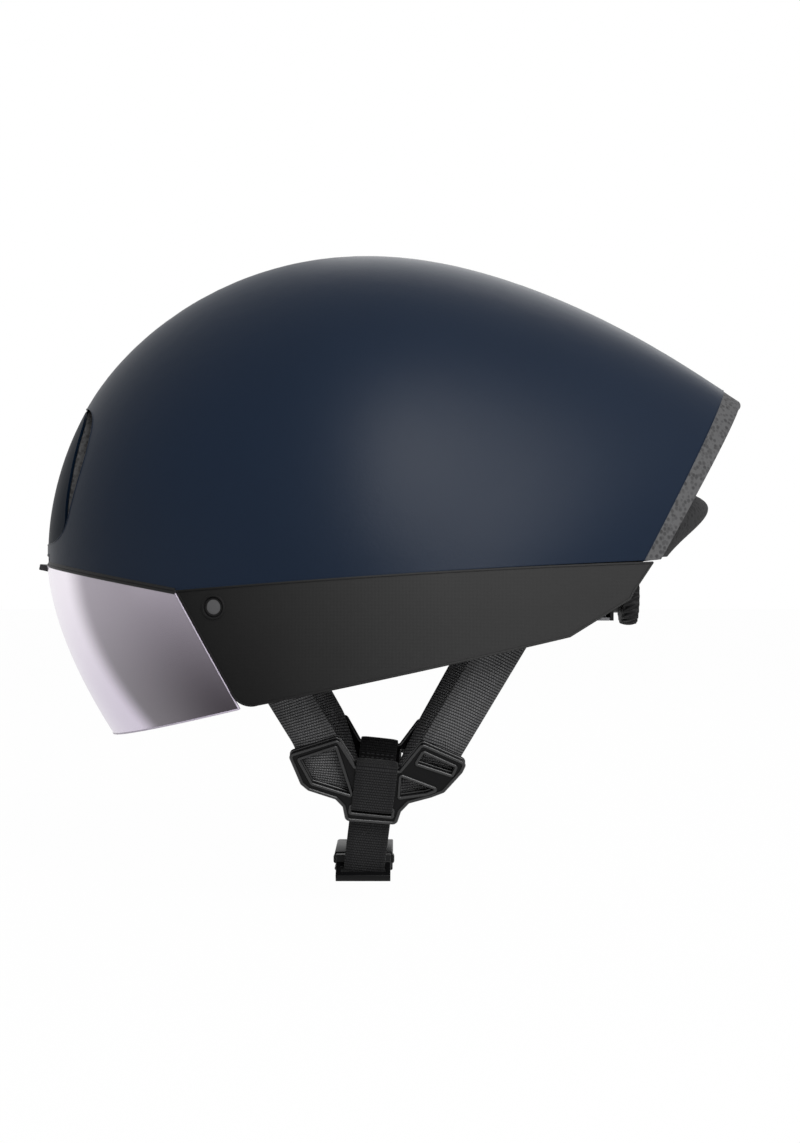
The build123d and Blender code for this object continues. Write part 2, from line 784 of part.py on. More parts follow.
carriage += block((plate_front, -stem_half, tongue_foot), (plate_rear, stem_half, carriage_foot))
carriage += block(
    (plate_front, -tongue_half, tongue_foot), (tongue_rear, tongue_half, tongue_foot + tongue_wall)
)
parts["height_carriage"] = carriage


def cradle_plan(inset, level):
    """A filled plan of the cradle, drawn in from its outer face."""
    half = cradle_half - inset
    near = [Vector(cradle_front, -half, level), Vector(cradle_bend_x, -half, level)]
    far = [Vector(cradle_bend_x, half, level), Vector(cradle_front, half, level)]
    arc = Edge.make_three_point_arc(near[1], Vector(cradle_rear - inset, 0, level), far[0])
    return Face(Wire([Edge.make_line(*near), arc, Edge.make_line(*far), Edge.make_line(far[1], near[0])]))


def cradle_block(inset, foot, top):
    """The cradle's filled plan as a prism."""
    return Solid.extrude(cradle_plan(inset, foot), Vector(0, 0, top - foot))


# Cradle: a band with a tall hub behind the head, and two hooks on the carriage's tongue
def rear_prism(points):
    """A prism along X from rear-view places."""
    ring = Wire.make_polygon([Vector(0, y, z) for y, z in points], close=True)
    return Solid.extrude(Face(ring), Vector(far_reach, 0, 0))


hub_near = [
    (-cradle_half, arm_foot), (-cradle_half, arm_top), (-cradle_hub_half - cradle_taper, arm_top),
    (-cradle_hub_half, cradle_top),
]
hub_low = [(-cradle_hub_half, cradle_foot), (-cradle_hub_half - cradle_taper, arm_foot)]
hub_far = [(-y, z) for y, z in reversed(hub_near)]
hub_low_far = [(-y, z) for y, z in reversed(hub_low)]
cradle_view = rear_prism(hub_near + hub_far + hub_low_far + hub_low)
cradle_inner = cradle_block(cradle_wall, cradle_foot - tool_overrun, cradle_top + tool_overrun)
band = (cradle_block(0, cradle_foot, cradle_top) - cradle_inner) & cradle_view
hook_top = tongue_foot + tongue_wall + contact_gap
for turn in (-1, 1):
    inner, outer = tongue_half + contact_gap, tongue_half + contact_gap + hook_wall
    high = hook_top + hook_wall / 2
    side_wall = block((hook_front, inner, cradle_top - hook_root), (hook_rear, outer, high))
    top_wall = block((hook_front, inner - hook_reach, hook_top), (hook_rear, outer, high))
    band += side_wall + top_wall if turn > 0 else mirrored(side_wall + top_wall)
parts["cradle"] = solids_of(band)[0]
nape_view = rear_prism([
    (-nape_outer, cradle_foot + nape_margin), (-nape_outer, cradle_top - nape_margin),
    (-nape_inner, cradle_top - nape_margin), (-nape_inner, cradle_foot + nape_margin),
])
nape = cradle_block(cradle_wall + pad_gap, cradle_foot, cradle_top) & nape_view
nape_inset = cradle_wall + pad_gap + nape_wall
nape = nape - cradle_block(nape_inset, cradle_foot - tool_overrun, cradle_top + tool_overrun)
nape = solids_of(nape)[0]
parts["nape_pad_left"] = nape
parts["nape_pad_right"] = mirrored(nape)

# Dial housing behind the hub, its cover, and the dial on its shaft
housing_foot = dial_z - rack_back - rack_gap - housing_wall
housing_top = dial_z + rack_back + rack_gap + housing_wall
housing = block((cradle_bend_x, -housing_half, housing_foot), (housing_rear, housing_half, housing_top))
housing = housing - cradle_block(0, cradle_foot - tool_overrun, cradle_top + tool_overrun)
well = block(
    (rack_front - rack_gap, -housing_half - tool_overrun, dial_z - rack_back - rack_gap),
    (housing_rear + tool_overrun, housing_half + tool_overrun, dial_z + rack_back + rack_gap),
)
parts["dial_housing"] = solids_of(housing - well)[0]
cover = block(
    (housing_rear, -housing_half, housing_foot), (housing_rear + cover_wall, housing_half, housing_top)
)


def along_x(radius, start, end, y=0, z=dial_z):
    """A cylinder along X."""
    return Pos((start + end) / 2, y, z) * Rot(0, 90, 0) * Cylinder(radius, end - start)


cover += along_x(cover_boss_radius, housing_rear + cover_wall / 2, cover_boss_rear)
cover = cover - along_x(shaft_radius + shaft_clearance, housing_rear - cover_wall, knob_front)
parts["dial_cover"] = cover


def across(x, y, z):
    """A place in the dial's plane."""
    return Vector(x, y, dial_z + z)


def pinion_face():
    """The pinion's toothed outline."""
    ring = []
    pitch_turn = 2 * math.pi / tooth_count
    for number in range(tooth_count):
        middle = math.pi / 2 + pitch_turn * (number + middle_share)
        for side in (-1, 1):
            shape = [
                (pitch_radius - tooth_dedendum, tooth_root_share), (pitch_radius, 1.0),
                (pitch_radius + tooth_addendum, tooth_tip_share),
            ]
            for radius, share in shape if side < 0 else shape[::-1]:
                angle = middle + side * pitch_turn * tooth_share * share
                ring.append(across(rack_front, radius * math.cos(angle), radius * math.sin(angle)))
    return Face(Wire.make_polygon(ring, close=True))


pinion = Solid.extrude(pinion_face(), Vector(rack_depth, 0, 0))
shaft = along_x(shaft_radius, rack_front + rack_depth / 2, knob_rear - knob_recess_depth)
parts["dial_shaft"] = pinion + shaft


def knob_ring():
    """The knob's fluted outline."""
    ring = []
    turn = 2 * math.pi / knob_flutes
    for number in range(knob_flutes):
        for step, depth in knob_flute_shares:
            angle, radius = turn * (number + step), knob_radius - depth * knob_flute_depth
            ring.append(across(knob_front, radius * math.cos(angle), radius * math.sin(angle)))
    return Wire.make_polygon(ring, close=True)


knob = Solid.extrude(Face(knob_ring()), Vector(knob_rear - knob_front, 0, 0))
knob = knob - along_x(shaft_radius, knob_front - cover_wall, knob_rear + cover_wall)
knob = knob - along_x(knob_recess_radius, knob_rear - knob_recess_depth, knob_rear + cover_wall)
parts["dial_knob"] = knob
screw_front = knob_rear - knob_recess_depth
parts["dial_screw"] = along_x(screw_radius, screw_front, screw_front + screw_head)


def rack(level, direction):
    """A toothed strip beside the pinion, above or below it, running out to one side."""
    pitch = 2 * math.pi * pitch_radius / tooth_count
    root = pitch_radius + tooth_dedendum
    tip = pitch_radius - tooth_addendum
    start, end = -rack_tail, rack_length - rack_tail
    ring = [(start, rack_back), (start, root)]
    for number in range(int((end - pitch / 2) / pitch) + 1):
        middle = number * pitch
        half = pitch * tooth_share
        ring += [
            (middle - half * tooth_root_share, root), (middle - half * tooth_tip_share, tip),
            (middle + half * tooth_tip_share, tip), (middle + half * tooth_root_share, root),
        ]
    ring += [(end, root), (end, rack_back)]
    places = [across(rack_front, direction * y, level * z) for y, z in ring]
    return Solid.extrude(Face(Wire.make_polygon(places, close=True)), Vector(rack_depth, 0, 0))


parts["rack_left"] = rack(-1, -1)
parts["rack_right"] = rack(1, 1)

# Side belts pinned to the foam
belt_size = cavity_half_length - belt_gap, cavity_half_width - belt_gap
belt_ring = Pos(cavity_x, 0, belt_foot) * extrude(
    Ellipse(*belt_size) - Ellipse(belt_size[0] - belt_wall, belt_size[1] - belt_wall), belt_top - belt_foot
)
belt = belt_ring & block((belt_front, -cavity_half_width, belt_foot), (belt_rear, 0, belt_top))
belt = belt - belt_pin_hole
pin_share = (pin_x - cavity_x) / (belt_size[0] - belt_wall)
belt_face = (belt_size[1] - belt_wall) * math.sqrt(1 - pin_share * pin_share)
pin_start = belt_face - contact_gap
belt_pin = Pos(pin_x, -pin_start - pin_depth / 2, pin_z) * Rot(90, 0, 0) * Cylinder(pin_radius, pin_depth)
belt_pin += Pos(pin_x, -pin_start + pin_head_wall / 2, pin_z) * Rot(90, 0, 0) * Cylinder(
    pin_head_radius, pin_head_wall
)
for side, place in (("left", lambda shape: shape), ("right", mirrored)):
    parts[f"side_belt_{side}"] = place(belt)
    parts[f"belt_pin_{side}"] = place(belt_pin)

# Divider frame: down the plate, across it, and out of it
head_point = Vector(*divider_head)
down = (Vector(*divider_foot) - head_point).normalized()
wide = (Vector(1, 0, 0) - down * down.X).normalized()
out = down.cross(wide)


def on_divider(across_share, down_share, depth):
    """A place on the divider from its shares and a depth out of its front face."""
    across = wide * (across_share * divider_half)
    return head_point + across + down * (down_share * divider_drop) + out * depth


def divider_face(shares, corner):
    """A face in the divider's front plane with rounded corners."""
    ring = Wire.make_polygon([on_divider(x, -y, 0) for x, y in shares], close=True)
    rounded = ring.fillet_2d(corner, ring.vertices())
    return Face(rounded)


plate = Solid.extrude(divider_face(divider_shares, divider_corner), out * -divider_wall)
through = out * -(divider_wall + tool_overrun)
for shares in (left_window_shares, slot_shares, right_window_shares):
    plate = plate - Solid.extrude(divider_face(shares, divider_corner / 2), through)
foot_slot = [(-foot_slot_half_share, level) for level in foot_slot_shares]
foot_slot += [(foot_slot_half_share, level) for level in reversed(foot_slot_shares)]
plate = plate - Solid.extrude(divider_face(foot_slot, divider_corner / 2), through)
parts["divider_left"] = plate
parts["divider_right"] = mirrored(plate)


def ribbon(stations):
    """Flat webbing through stations, each a left edge, a right edge and the way it faces."""
    rings = []
    for left, right, facing in stations:
        step = facing.normalized() * (web_wall / 2)
        rings.append(Wire.make_polygon([left + step, right + step, right - step, left - step], close=True))
    return Solid.make_loft(rings, ruled=True)


web_depth = -divider_wall - web_seat - web_wall / 2


def side_web(anchor, shares):
    """Webbing from an anchor to its place behind the divider, with the anchor's frame."""
    (head_left, head_right), (foot_left, foot_right) = shares
    left, right = on_divider(*head_left, web_depth), on_divider(*head_right, web_depth)
    middle = (left + right) * middle_share
    top = Vector(*anchor)
    rise = (top - middle).normalized()
    level = Vector(1, 0, 0) - rise * rise.X
    level = level.normalized()
    facing = rise.cross(level)
    half = level * (web_width / 2)
    stations = [
        (top - half, top + half, facing), (left, right, out),
        (on_divider(*foot_left, web_depth), on_divider(*foot_right, web_depth), out),
    ]
    return ribbon(stations), Plane(origin=top, x_dir=level, z_dir=rise)


def anchor_block(frame, ceiling):
    """A moulded anchor that holds the webbing's end, cut level against the foam."""
    size = web_width + 2 * anchor_wall
    thick = web_wall + 2 * anchor_wall
    shape = frame * Pos(0, 0, -anchor_entry) * Box(size, thick, 2 * anchor_depth + anchor_entry, align=(
        Align.CENTER, Align.CENTER, Align.MIN
    ))
    pocket = frame * Pos(0, 0, -2 * anchor_entry) * Box(
        web_width + 2 * anchor_fit, web_wall + 2 * anchor_fit, 2 * anchor_entry + anchor_fit,
        align=(Align.CENTER, Align.CENTER, Align.MIN),
    )
    keep = block((-far_reach, -far_reach, -far_reach), (far_reach, far_reach, ceiling))
    return solids_of((shape & keep) - pocket)[0]


for name, anchor, shares, ceiling in (
    ("front", front_anchor, front_web_shares, -foam_front_foot),
    ("rear", rear_anchor, rear_web_shares, -foam_foot),
):
    webbing, frame = side_web(anchor, shares)
    holder = anchor_block(frame, ceiling)
    for side, place in (("left", lambda shape: shape), ("right", mirrored)):
        parts[f"{name}_strap_{side}"] = place(webbing)
        parts[f"{name}_anchor_{side}"] = place(holder)


def strip(places):
    """Webbing that follows places down the divider and out of it, with mitred bends."""
    near, far = [], []
    for number, (at_x, at_y) in enumerate(places):
        before = places[max(number - 1, 0)]
        after = places[min(number + 1, len(places) - 1)]
        turns = []
        for (ax, ay), (bx, by) in ((before, (at_x, at_y)), ((at_x, at_y), after)):
            run = math.hypot(bx - ax, by - ay)
            if run > 0:
                turns.append((-(by - ay) / run, (bx - ax) / run))
        mx = sum(turn[0] for turn in turns) / len(turns)
        my = sum(turn[1] for turn in turns) / len(turns)
        reach = web_wall / 2 / (mx * mx + my * my)
        near.append((at_x + mx * reach, at_y + my * reach))
        far.append((at_x - mx * reach, at_y - my * reach))
    ring = [
        head_point + wide * (-chin_width / 2) + down * x + out * y for x, y in near + far[::-1]
    ]
    return Solid.extrude(Face(Wire.make_polygon(ring, close=True)), wide * chin_width)


front_level = web_seat + web_wall / 2
behind_level = web_depth - web_wall - web_seat
chin_loop = [
    (chin_back_share * divider_drop, behind_level), (chin_top + chin_bend, behind_level),
    (chin_top, behind_level + chin_bend), (chin_top, front_level - chin_bend),
    (chin_top + chin_bend, front_level), (chin_slot_shares[0] * divider_drop, front_level),
    (chin_slot_shares[1] * divider_drop, web_depth), (chin_exit_share * divider_drop, web_depth),
]
parts["chin_strap_left"] = strip(chin_loop + [(chin_near_end, web_depth)])
parts["chin_strap_right"] = mirrored(strip(chin_loop + [chin_far_turn, chin_far_end]))


# Buckle: the slotted half on the left, its prongs, and the socket half on the right
def buckle_block(half, front, rear, half_height, level=buckle_z):
    """A block of the buckle, centred on its width and its height."""
    low = (buckle_x - half, front, level - half_height)
    return block(low, (buckle_x + half, rear, level + half_height))


female = buckle_block(female_half, female_front, female_rear, female_half_height)
bore_height = female_half_height - female_wall
mouth = female_front - tool_overrun
female = female - buckle_block(female_mouth_half, mouth, female_cavity_rear, bore_height)
female = female - buckle_block(2 * female_half, mouth, female_window_rear, bore_height)
bar_front = female_rear - buckle_bar - web_slot
female = female - buckle_block(web_slot_half, bar_front, bar_front + web_slot, 2 * female_half_height)
tail_front = female_cavity_rear + female_wall
for turn in (-1, 1):
    level = buckle_z + turn * (female_tail_half_height + female_half_height)
    female = female - buckle_block(2 * female_half, tail_front, 2 * female_rear, female_half_height, level)
parts["buckle_female"] = female
male = buckle_block(male_half, male_base_front, male_base_rear, female_half_height - running_gap)
male += buckle_block(guide_half, male_base_front, guide_tip, prong_half_height)
frame_plane = Plane(origin=(buckle_x, male_base_front + male_frame_root, buckle_z))
frame_plane = frame_plane.rotated((male_frame_turn, 0, 0))
end_frame = frame_plane * Box(
    2 * male_half, male_frame_length, male_frame_wall, align=(Align.CENTER, Align.MAX, Align.CENTER)
)
end_slot = frame_plane * Pos(0, -male_slot_place, 0) * Box(
    2 * web_slot_half, web_slot, 2 * male_frame_wall
)
male = (male + end_frame) - end_slot
for name, turn in (("front", -1), ("rear", 1)):
    inner, outer = prong_inner, prong_inner + prong_wall
    middle = (inner + outer) / 2
    ring = [
        (inner, prong_pivot_y), (inner, prong_tip), (outer, prong_tip),
        (prong_head, (prong_head_front + prong_tip) / 2), (prong_head, prong_head_front),
        (outer, prong_head_front - prong_wall), (outer, prong_pivot_y),
    ]
    places = [Vector(buckle_x + turn * x, y, buckle_z - prong_half_height) for x, y in ring]
    arm = Solid.extrude(Face(Wire.make_polygon(places, close=True)), Vector(0, 0, 2 * prong_half_height))
    pivot = Pos(buckle_x + turn * middle, prong_pivot_y, buckle_z)
    arm += pivot * Cylinder(prong_wall / 2, 2 * prong_half_height)
    parts[f"buckle_prong_{name}"] = arm
parts["buckle_male"] = male

if __name__ == "__main__":
    os.makedirs("parts", exist_ok=True)
    for name, shape in parts.items():
        export_step(shape, f"parts/{name}.step")
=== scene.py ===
"""An aero time trial helmet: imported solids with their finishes, woven webbing, pads and moulded detail."""

import json
import logging
import math
from dataclasses import dataclass
from enum import Enum
from typing import Any, Iterable, Sequence, Union

import bmesh
import bpy
import numpy as np
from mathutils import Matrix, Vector


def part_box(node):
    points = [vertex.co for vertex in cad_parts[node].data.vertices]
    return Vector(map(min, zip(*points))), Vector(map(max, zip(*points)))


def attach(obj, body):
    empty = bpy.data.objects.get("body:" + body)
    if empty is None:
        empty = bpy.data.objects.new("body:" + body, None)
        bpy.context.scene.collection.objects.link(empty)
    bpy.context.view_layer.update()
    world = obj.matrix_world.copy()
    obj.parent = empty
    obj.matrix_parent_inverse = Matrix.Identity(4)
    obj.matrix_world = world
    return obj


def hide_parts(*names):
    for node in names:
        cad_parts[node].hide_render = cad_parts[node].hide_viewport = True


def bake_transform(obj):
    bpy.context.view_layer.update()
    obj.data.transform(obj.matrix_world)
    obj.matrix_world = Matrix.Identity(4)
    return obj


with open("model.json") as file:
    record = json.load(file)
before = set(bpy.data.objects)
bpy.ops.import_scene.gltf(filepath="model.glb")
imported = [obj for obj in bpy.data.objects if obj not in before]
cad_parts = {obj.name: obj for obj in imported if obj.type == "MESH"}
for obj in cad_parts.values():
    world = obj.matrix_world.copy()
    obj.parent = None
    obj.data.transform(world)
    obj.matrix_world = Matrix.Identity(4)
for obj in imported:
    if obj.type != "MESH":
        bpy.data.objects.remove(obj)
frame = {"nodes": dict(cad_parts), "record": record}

LOG = logging.getLogger("helmet")
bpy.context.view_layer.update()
MM = 0.001
Colour = tuple[float, float, float, float]
Operand = Union["Field", float]
Station = tuple[Vector, Vector]
Places = tuple[tuple[float, float], ...]


def tint(red: int, green: int, blue: int) -> Colour:
    """Turn a colour as seen on screen into the linear value that a shader takes.

    Args:
        red: Red from 0 to 255.
        green: Green from 0 to 255.
        blue: Blue from 0 to 255.

    Returns:
        The linear colour, fully opaque.
    """
    seen = [value / 255 for value in (red, green, blue)]
    linear = [v / 12.92 if v <= 0.04045 else ((v + 0.055) / 1.055) ** 2.4 for v in seen]
    return linear[0], linear[1], linear[2], 1.0


class Side(Enum):
    """The wearer's two sides, as the sign of Y."""

    LEFT = -1
    RIGHT = 1

    def place(self, point: Vector) -> Vector:
        """Put a point that is given for the left on this side."""
        return Vector((point.x, -point.y * self.value, point.z))

    def node(self, stem: str) -> str:
        """Name this side's solid."""
        return f"{stem}_{self.name.lower()}"


# Node trees


class Field:
    """A number that varies over a surface; Python's operators add its Math nodes."""

    def __init__(self, home: "Nodes", socket: bpy.types.NodeSocket) -> None:
        """Keep the socket and the tree that it belongs to."""
        self.home = home
        self.socket = socket

    def __add__(self, other: Operand) -> "Field":
        """Add."""
        return self.home.maths("ADD", self, other)

    def __sub__(self, other: Operand) -> "Field":
        """Subtract."""
        return self.home.maths("SUBTRACT", self, other)

    def __mul__(self, other: Operand) -> "Field":
        """Multiply."""
        return self.home.maths("MULTIPLY", self, other)

    def __truediv__(self, other: Operand) -> "Field":
        """Divide."""
        return self.home.maths("DIVIDE", self, other)

    def __rsub__(self, other: Operand) -> "Field":
        """Subtract from a plain number."""
        return self.home.maths("SUBTRACT", other, self)

    __radd__ = __add__
    __rmul__ = __mul__


class Nodes:
    """A node tree that is filled through one method."""

    def __init__(self, tree: bpy.types.NodeTree) -> None:
        """Empty the tree."""
        self.tree = tree
        tree.nodes.clear()

    def node(
        self, kind: str, settings: dict[str, Any] | None = None, sockets: dict[Any, Any] | None = None
    ) -> bpy.types.Node:
        """Add a node, set it up and feed its sockets.

        Args:
            kind: The node's type.
            settings: Its properties, set before anything is linked.
            sockets: Values, fields or sockets for its inputs, by name or number.

        Returns:
            The new node.
        """
        made = self.tree.nodes.new(kind)
        for name, value in (settings or {}).items():
            setattr(made, name, value)
        for key, value in (sockets or {}).items():
            source = value.socket if isinstance(value, Field) else value
            if isinstance(source, bpy.types.NodeSocket):
                self.tree.links.new(source, made.inputs[key])
            else:
                made.inputs[key].default_value = source
        return made

    def maths(self, operation: str, *values: Operand) -> Field:
        """Work out one operation on fields or numbers."""
        made = self.node("ShaderNodeMath", {"operation": operation}, dict(enumerate(values)))
        return Field(self, made.outputs[0])

    def looked_at(self) -> Field:
        """Tell where the camera, a reflection or a view through glass looks.

        Returns:
            One there, and zero for light that falls on the object.
        """
        path = self.node("ShaderNodeLightPath")
        camera, glossy, through = (
            Field(self, path.outputs[f"Is {name} Ray"]) for name in ("Camera", "Glossy", "Transmission")
        )
        return self.maths("MAXIMUM", self.maths("MAXIMUM", camera, glossy), through)


class Recipe(Nodes):
    """One material's nodes, from its coordinates to its surface shader."""

    def __init__(self, name: str, constants: dict[str, Any]) -> None:
        """Start a material whose surface shader has these constant values.

        Args:
            name: The material's name.
            constants: Values set on the surface shader's own sockets.
        """
        self.material = bpy.data.materials.new(name)
        self.material.use_nodes = True
        super().__init__(self.material.node_tree)
        self.shader = self.node("ShaderNodeBsdfPrincipled", sockets=constants)
        self.output = self.node("ShaderNodeOutputMaterial", sockets={"Surface": self.shader.outputs[0]})
        self.places = self.node("ShaderNodeTexCoord").outputs["Object"]
        split = self.node("ShaderNodeSeparateXYZ", sockets={0: self.places})
        self.x, self.y, self.z = (Field(self, output) for output in split.outputs)

    def step(self, value: Field, low: float, high: float) -> Field:
        """Rise smoothly from zero at low to one at high, or fall where low is the larger."""
        made = self.node(
            "ShaderNodeMapRange", {"interpolation_type": "SMOOTHSTEP"}, {0: value, 1: low, 2: high}
        )
        return Field(self, made.outputs[0])

    def noise(self, scale: float, detail: float = 2.0) -> Field:
        """Soft noise of a scale per metre."""
        made = self.node(
            "ShaderNodeTexNoise", sockets={"Vector": self.places, "Scale": scale, "Detail": detail}
        )
        return Field(self, made.outputs[0])

    def cells(self, scale: float, spread: float = 1.0) -> bpy.types.Node:
        """Rounded cells of a scale per metre, evenly set where the spread is small."""
        places = {"Vector": self.places, "Scale": scale, "Randomness": spread}
        return self.node("ShaderNodeTexVoronoi", {"feature": "F1"}, places)

    def mix(self, factor: Operand, first: Any, second: Any) -> bpy.types.NodeSocket:
        """Mix two colours by a factor."""
        made = self.node("ShaderNodeMix", {"data_type": "RGBA"}, {0: factor, 6: first, 7: second})
        return made.outputs[2]

    def shade(self, factor: Operand, colour: Any) -> bpy.types.NodeSocket:
        """Darken a colour towards black as the factor falls from one."""
        return self.mix(factor, (0.0, 0.0, 0.0, 1.0), colour)

    def finish(
        self, colour: Any = None, height: Field | None = None, depth: float = 0.0, **fields: Operand
    ) -> bpy.types.Material:
        """Feed the surface shader.

        Args:
            colour: The base colour.
            height: The relief, from zero to one.
            depth: The relief's depth in metres.
            **fields: Roughness and metallic fields.

        Returns:
            The finished material.
        """
        feeds: dict[str, Any] = {key.title(): value for key, value in fields.items()}
        if colour is not None:
            feeds["Base Color"] = colour
        if height is not None:
            bump = self.node(
                "ShaderNodeBump", sockets={"Strength": 1.0, "Distance": depth, "Height": height}
            )
            feeds["Normal"] = bump.outputs[0]
        for key, value in feeds.items():
            source = value.socket if isinstance(value, Field) else value
            self.tree.links.new(source, self.shader.inputs[key])
        return self.material


class Plan(Nodes):
    """A Geometry Nodes tree with named inputs, whose result is kept as a plain mesh."""

    def __init__(self, name: str, **inputs: str) -> None:
        """Start a tree.

        Args:
            name: The tree's name.
            **inputs: Each input's kind of value, by its name.
        """
        super().__init__(bpy.data.node_groups.new(name, "GeometryNodeTree"))
        face = self.tree.interface
        face.new_socket(name="Geometry", in_out="INPUT", socket_type="NodeSocketGeometry")
        for key, kind in inputs.items():
            face.new_socket(name=key, in_out="INPUT", socket_type=f"NodeSocket{kind}")
        face.new_socket(name="Material", in_out="INPUT", socket_type="NodeSocketMaterial")
        face.new_socket(name="Geometry", in_out="OUTPUT", socket_type="NodeSocketGeometry")
        self.given = self.node("NodeGroupInput").outputs

    def close(self, geometry: bpy.types.NodeSocket) -> "Plan":
        """End the tree with smooth faces, real meshes and the finish.

        Args:
            geometry: What the tree has made.

        Returns:
            The closed tree.
        """
        smooth = self.node("GeometryNodeSetShadeSmooth", sockets={"Geometry": geometry})
        real = self.node("GeometryNodeRealizeInstances", sockets={"Geometry": smooth.outputs[0]})
        finish = {"Geometry": real.outputs[0], "Material": self.given["Material"]}
        done = self.node("GeometryNodeSetMaterial", sockets=finish)
        self.node("NodeGroupOutput", sockets={0: done.outputs[0]})
        return self

    def run(
        self, piece: bpy.types.Object, material: bpy.types.Material, body: str, slot: str, **values: Any
    ) -> bpy.types.Object:
        """Turn a piece into the tree's result.

        Args:
            piece: The piece that the tree works on.
            material: The finish.
            body: The body that the result rides on.
            slot: The record's material slot; not used.
            **values: The inputs' values, by name.

        Returns:
            The piece with its new mesh.
        """
        work = piece.modifiers.new(self.tree.name, "NODES")
        work.node_group = self.tree
        values["Material"] = material
        for item in self.tree.interface.items_tree:
            if item.in_out == "INPUT" and item.name in values:
                work[item.identifier] = values[item.name]
        applied(piece)
        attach(piece, body)
        LOG.info("%s: %d faces", piece.name, len(piece.data.polygons))
        return piece


def rolled_rims() -> Plan:
    """Lay a round bead along every sharp edge of a mesh.

    Returns:
        The tree, which takes the bead's radius and the least turn of an edge.
    """
    plan = Plan("rolled_rims", Radius="Float", Turn="Float")
    turn = plan.node("GeometryNodeInputMeshEdgeAngle").outputs["Unsigned Angle"]
    sharp = plan.node(
        "FunctionNodeCompare", {"data_type": "FLOAT", "operation": "GREATER_THAN"},
        {0: turn, 1: plan.given["Turn"]},
    )
    edges = {"Mesh": plan.given[0], "Selection": sharp.outputs[0]}
    paths = plan.node("GeometryNodeMeshToCurve", sockets=edges)
    ring = plan.node(
        "GeometryNodeCurvePrimitiveCircle", sockets={"Resolution": 8, "Radius": plan.given["Radius"]}
    )
    bead = plan.node(
        "GeometryNodeCurveToMesh",
        sockets={"Curve": paths.outputs[0], "Profile Curve": ring.outputs[0], "Fill Caps": True},
    )
    return plan.close(bead.outputs[0])


def grain_of(plan: Plan) -> bpy.types.NodeSocket:
    """A unit ball with few faces, which the rows and rings stretch into ribs and stitches."""
    ball = plan.node("GeometryNodeMeshUVSphere", sockets={"Segments": 10, "Rings": 7, "Radius": 1.0})
    return ball.outputs[0]


def straight_row() -> Plan:
    """Set equal ribs or stitches along a line.

    Returns:
        The tree, which takes the line's ends, the count, the way that they lie and their size.
    """
    plan = Plan("straight_row", Start="Vector", End="Vector", Count="Int", Lie="Vector", Size="Vector")
    line = plan.node(
        "GeometryNodeCurvePrimitiveLine", sockets={"Start": plan.given["Start"], "End": plan.given["End"]}
    )
    marks = plan.node(
        "GeometryNodeResampleCurve", sockets={"Curve": line.outputs[0], "Count": plan.given["Count"]}
    )
    turned = plan.node("FunctionNodeAlignRotationToVector", {"axis": "Z"}, {"Vector": plan.given["Lie"]})
    row = plan.node(
        "GeometryNodeInstanceOnPoints",
        sockets={
            "Points": marks.outputs[0], "Instance": grain_of(plan), "Rotation": turned.outputs[0],
            "Scale": plan.given["Size"],
        },
    )
    return plan.close(row.outputs[0])


def slanted_ring() -> Plan:
    """Set equal slanted ribs round an axle that lies along X.

    Returns:
        The tree, which takes the ring's centre and radius, and the ribs' count, slant and size.
    """
    plan = Plan("slanted_ring", Centre="Vector", Radius="Float", Count="Int", Slant="Float", Size="Vector")
    circle = plan.node(
        "GeometryNodeCurvePrimitiveCircle",
        sockets={"Resolution": plan.given["Count"], "Radius": plan.given["Radius"]},
    )
    number = Field(plan, plan.node("GeometryNodeInputIndex").outputs[0])
    angle = number * math.tau / Field(plan, plan.given["Count"])
    euler = plan.node("ShaderNodeCombineXYZ", sockets={0: plan.given["Slant"], 2: angle})
    turned = plan.node("FunctionNodeEulerToRotation", sockets={0: euler.outputs[0]})
    ribs = plan.node(
        "GeometryNodeInstanceOnPoints",
        sockets={
            "Points": circle.outputs[0], "Instance": grain_of(plan), "Rotation": turned.outputs[0],
            "Scale": plan.given["Size"],
        },
    )
    placed = plan.node(
        "GeometryNodeTransform",
        sockets={
            "Geometry": ribs.outputs[0], "Translation": plan.given["Centre"],
            "Rotation": (0.0, math.pi / 2, 0.0),
        },
    )
    return plan.close(placed.outputs[0])


# Finishes: scales are per metre, and shares say how much each effect counts


@dataclass(frozen=True)
class ShellFinish:
    """Satin navy outer skin with a faint orange peel."""

    name: str = "shell_satin_navy"
    deep: Colour = tint(9, 22, 38)
    pale: Colour = tint(13, 26, 43)
    gloss: float = 0.12
    rough: float = 0.38
    uneven: float = 0.05
    cloud_scale: float = 14.0
    dust_scale: float = 2600.0
    peel_scale: float = 950.0
    peel_depth: float = 0.00003

    def make(self) -> bpy.types.Material:
        """Build the material.

        Returns:
            The finished material.
        """
        r = Recipe(self.name, {"Specular IOR Level": self.gloss})
        cloud = r.noise(self.cloud_scale, 4.0)
        dust = r.noise(self.dust_scale)
        rough = (cloud + dust) * self.uneven + self.rough
        peel = r.noise(self.peel_scale, 3.0)
        return r.finish(r.mix(cloud, self.deep, self.pale), peel, self.peel_depth, roughness=rough)


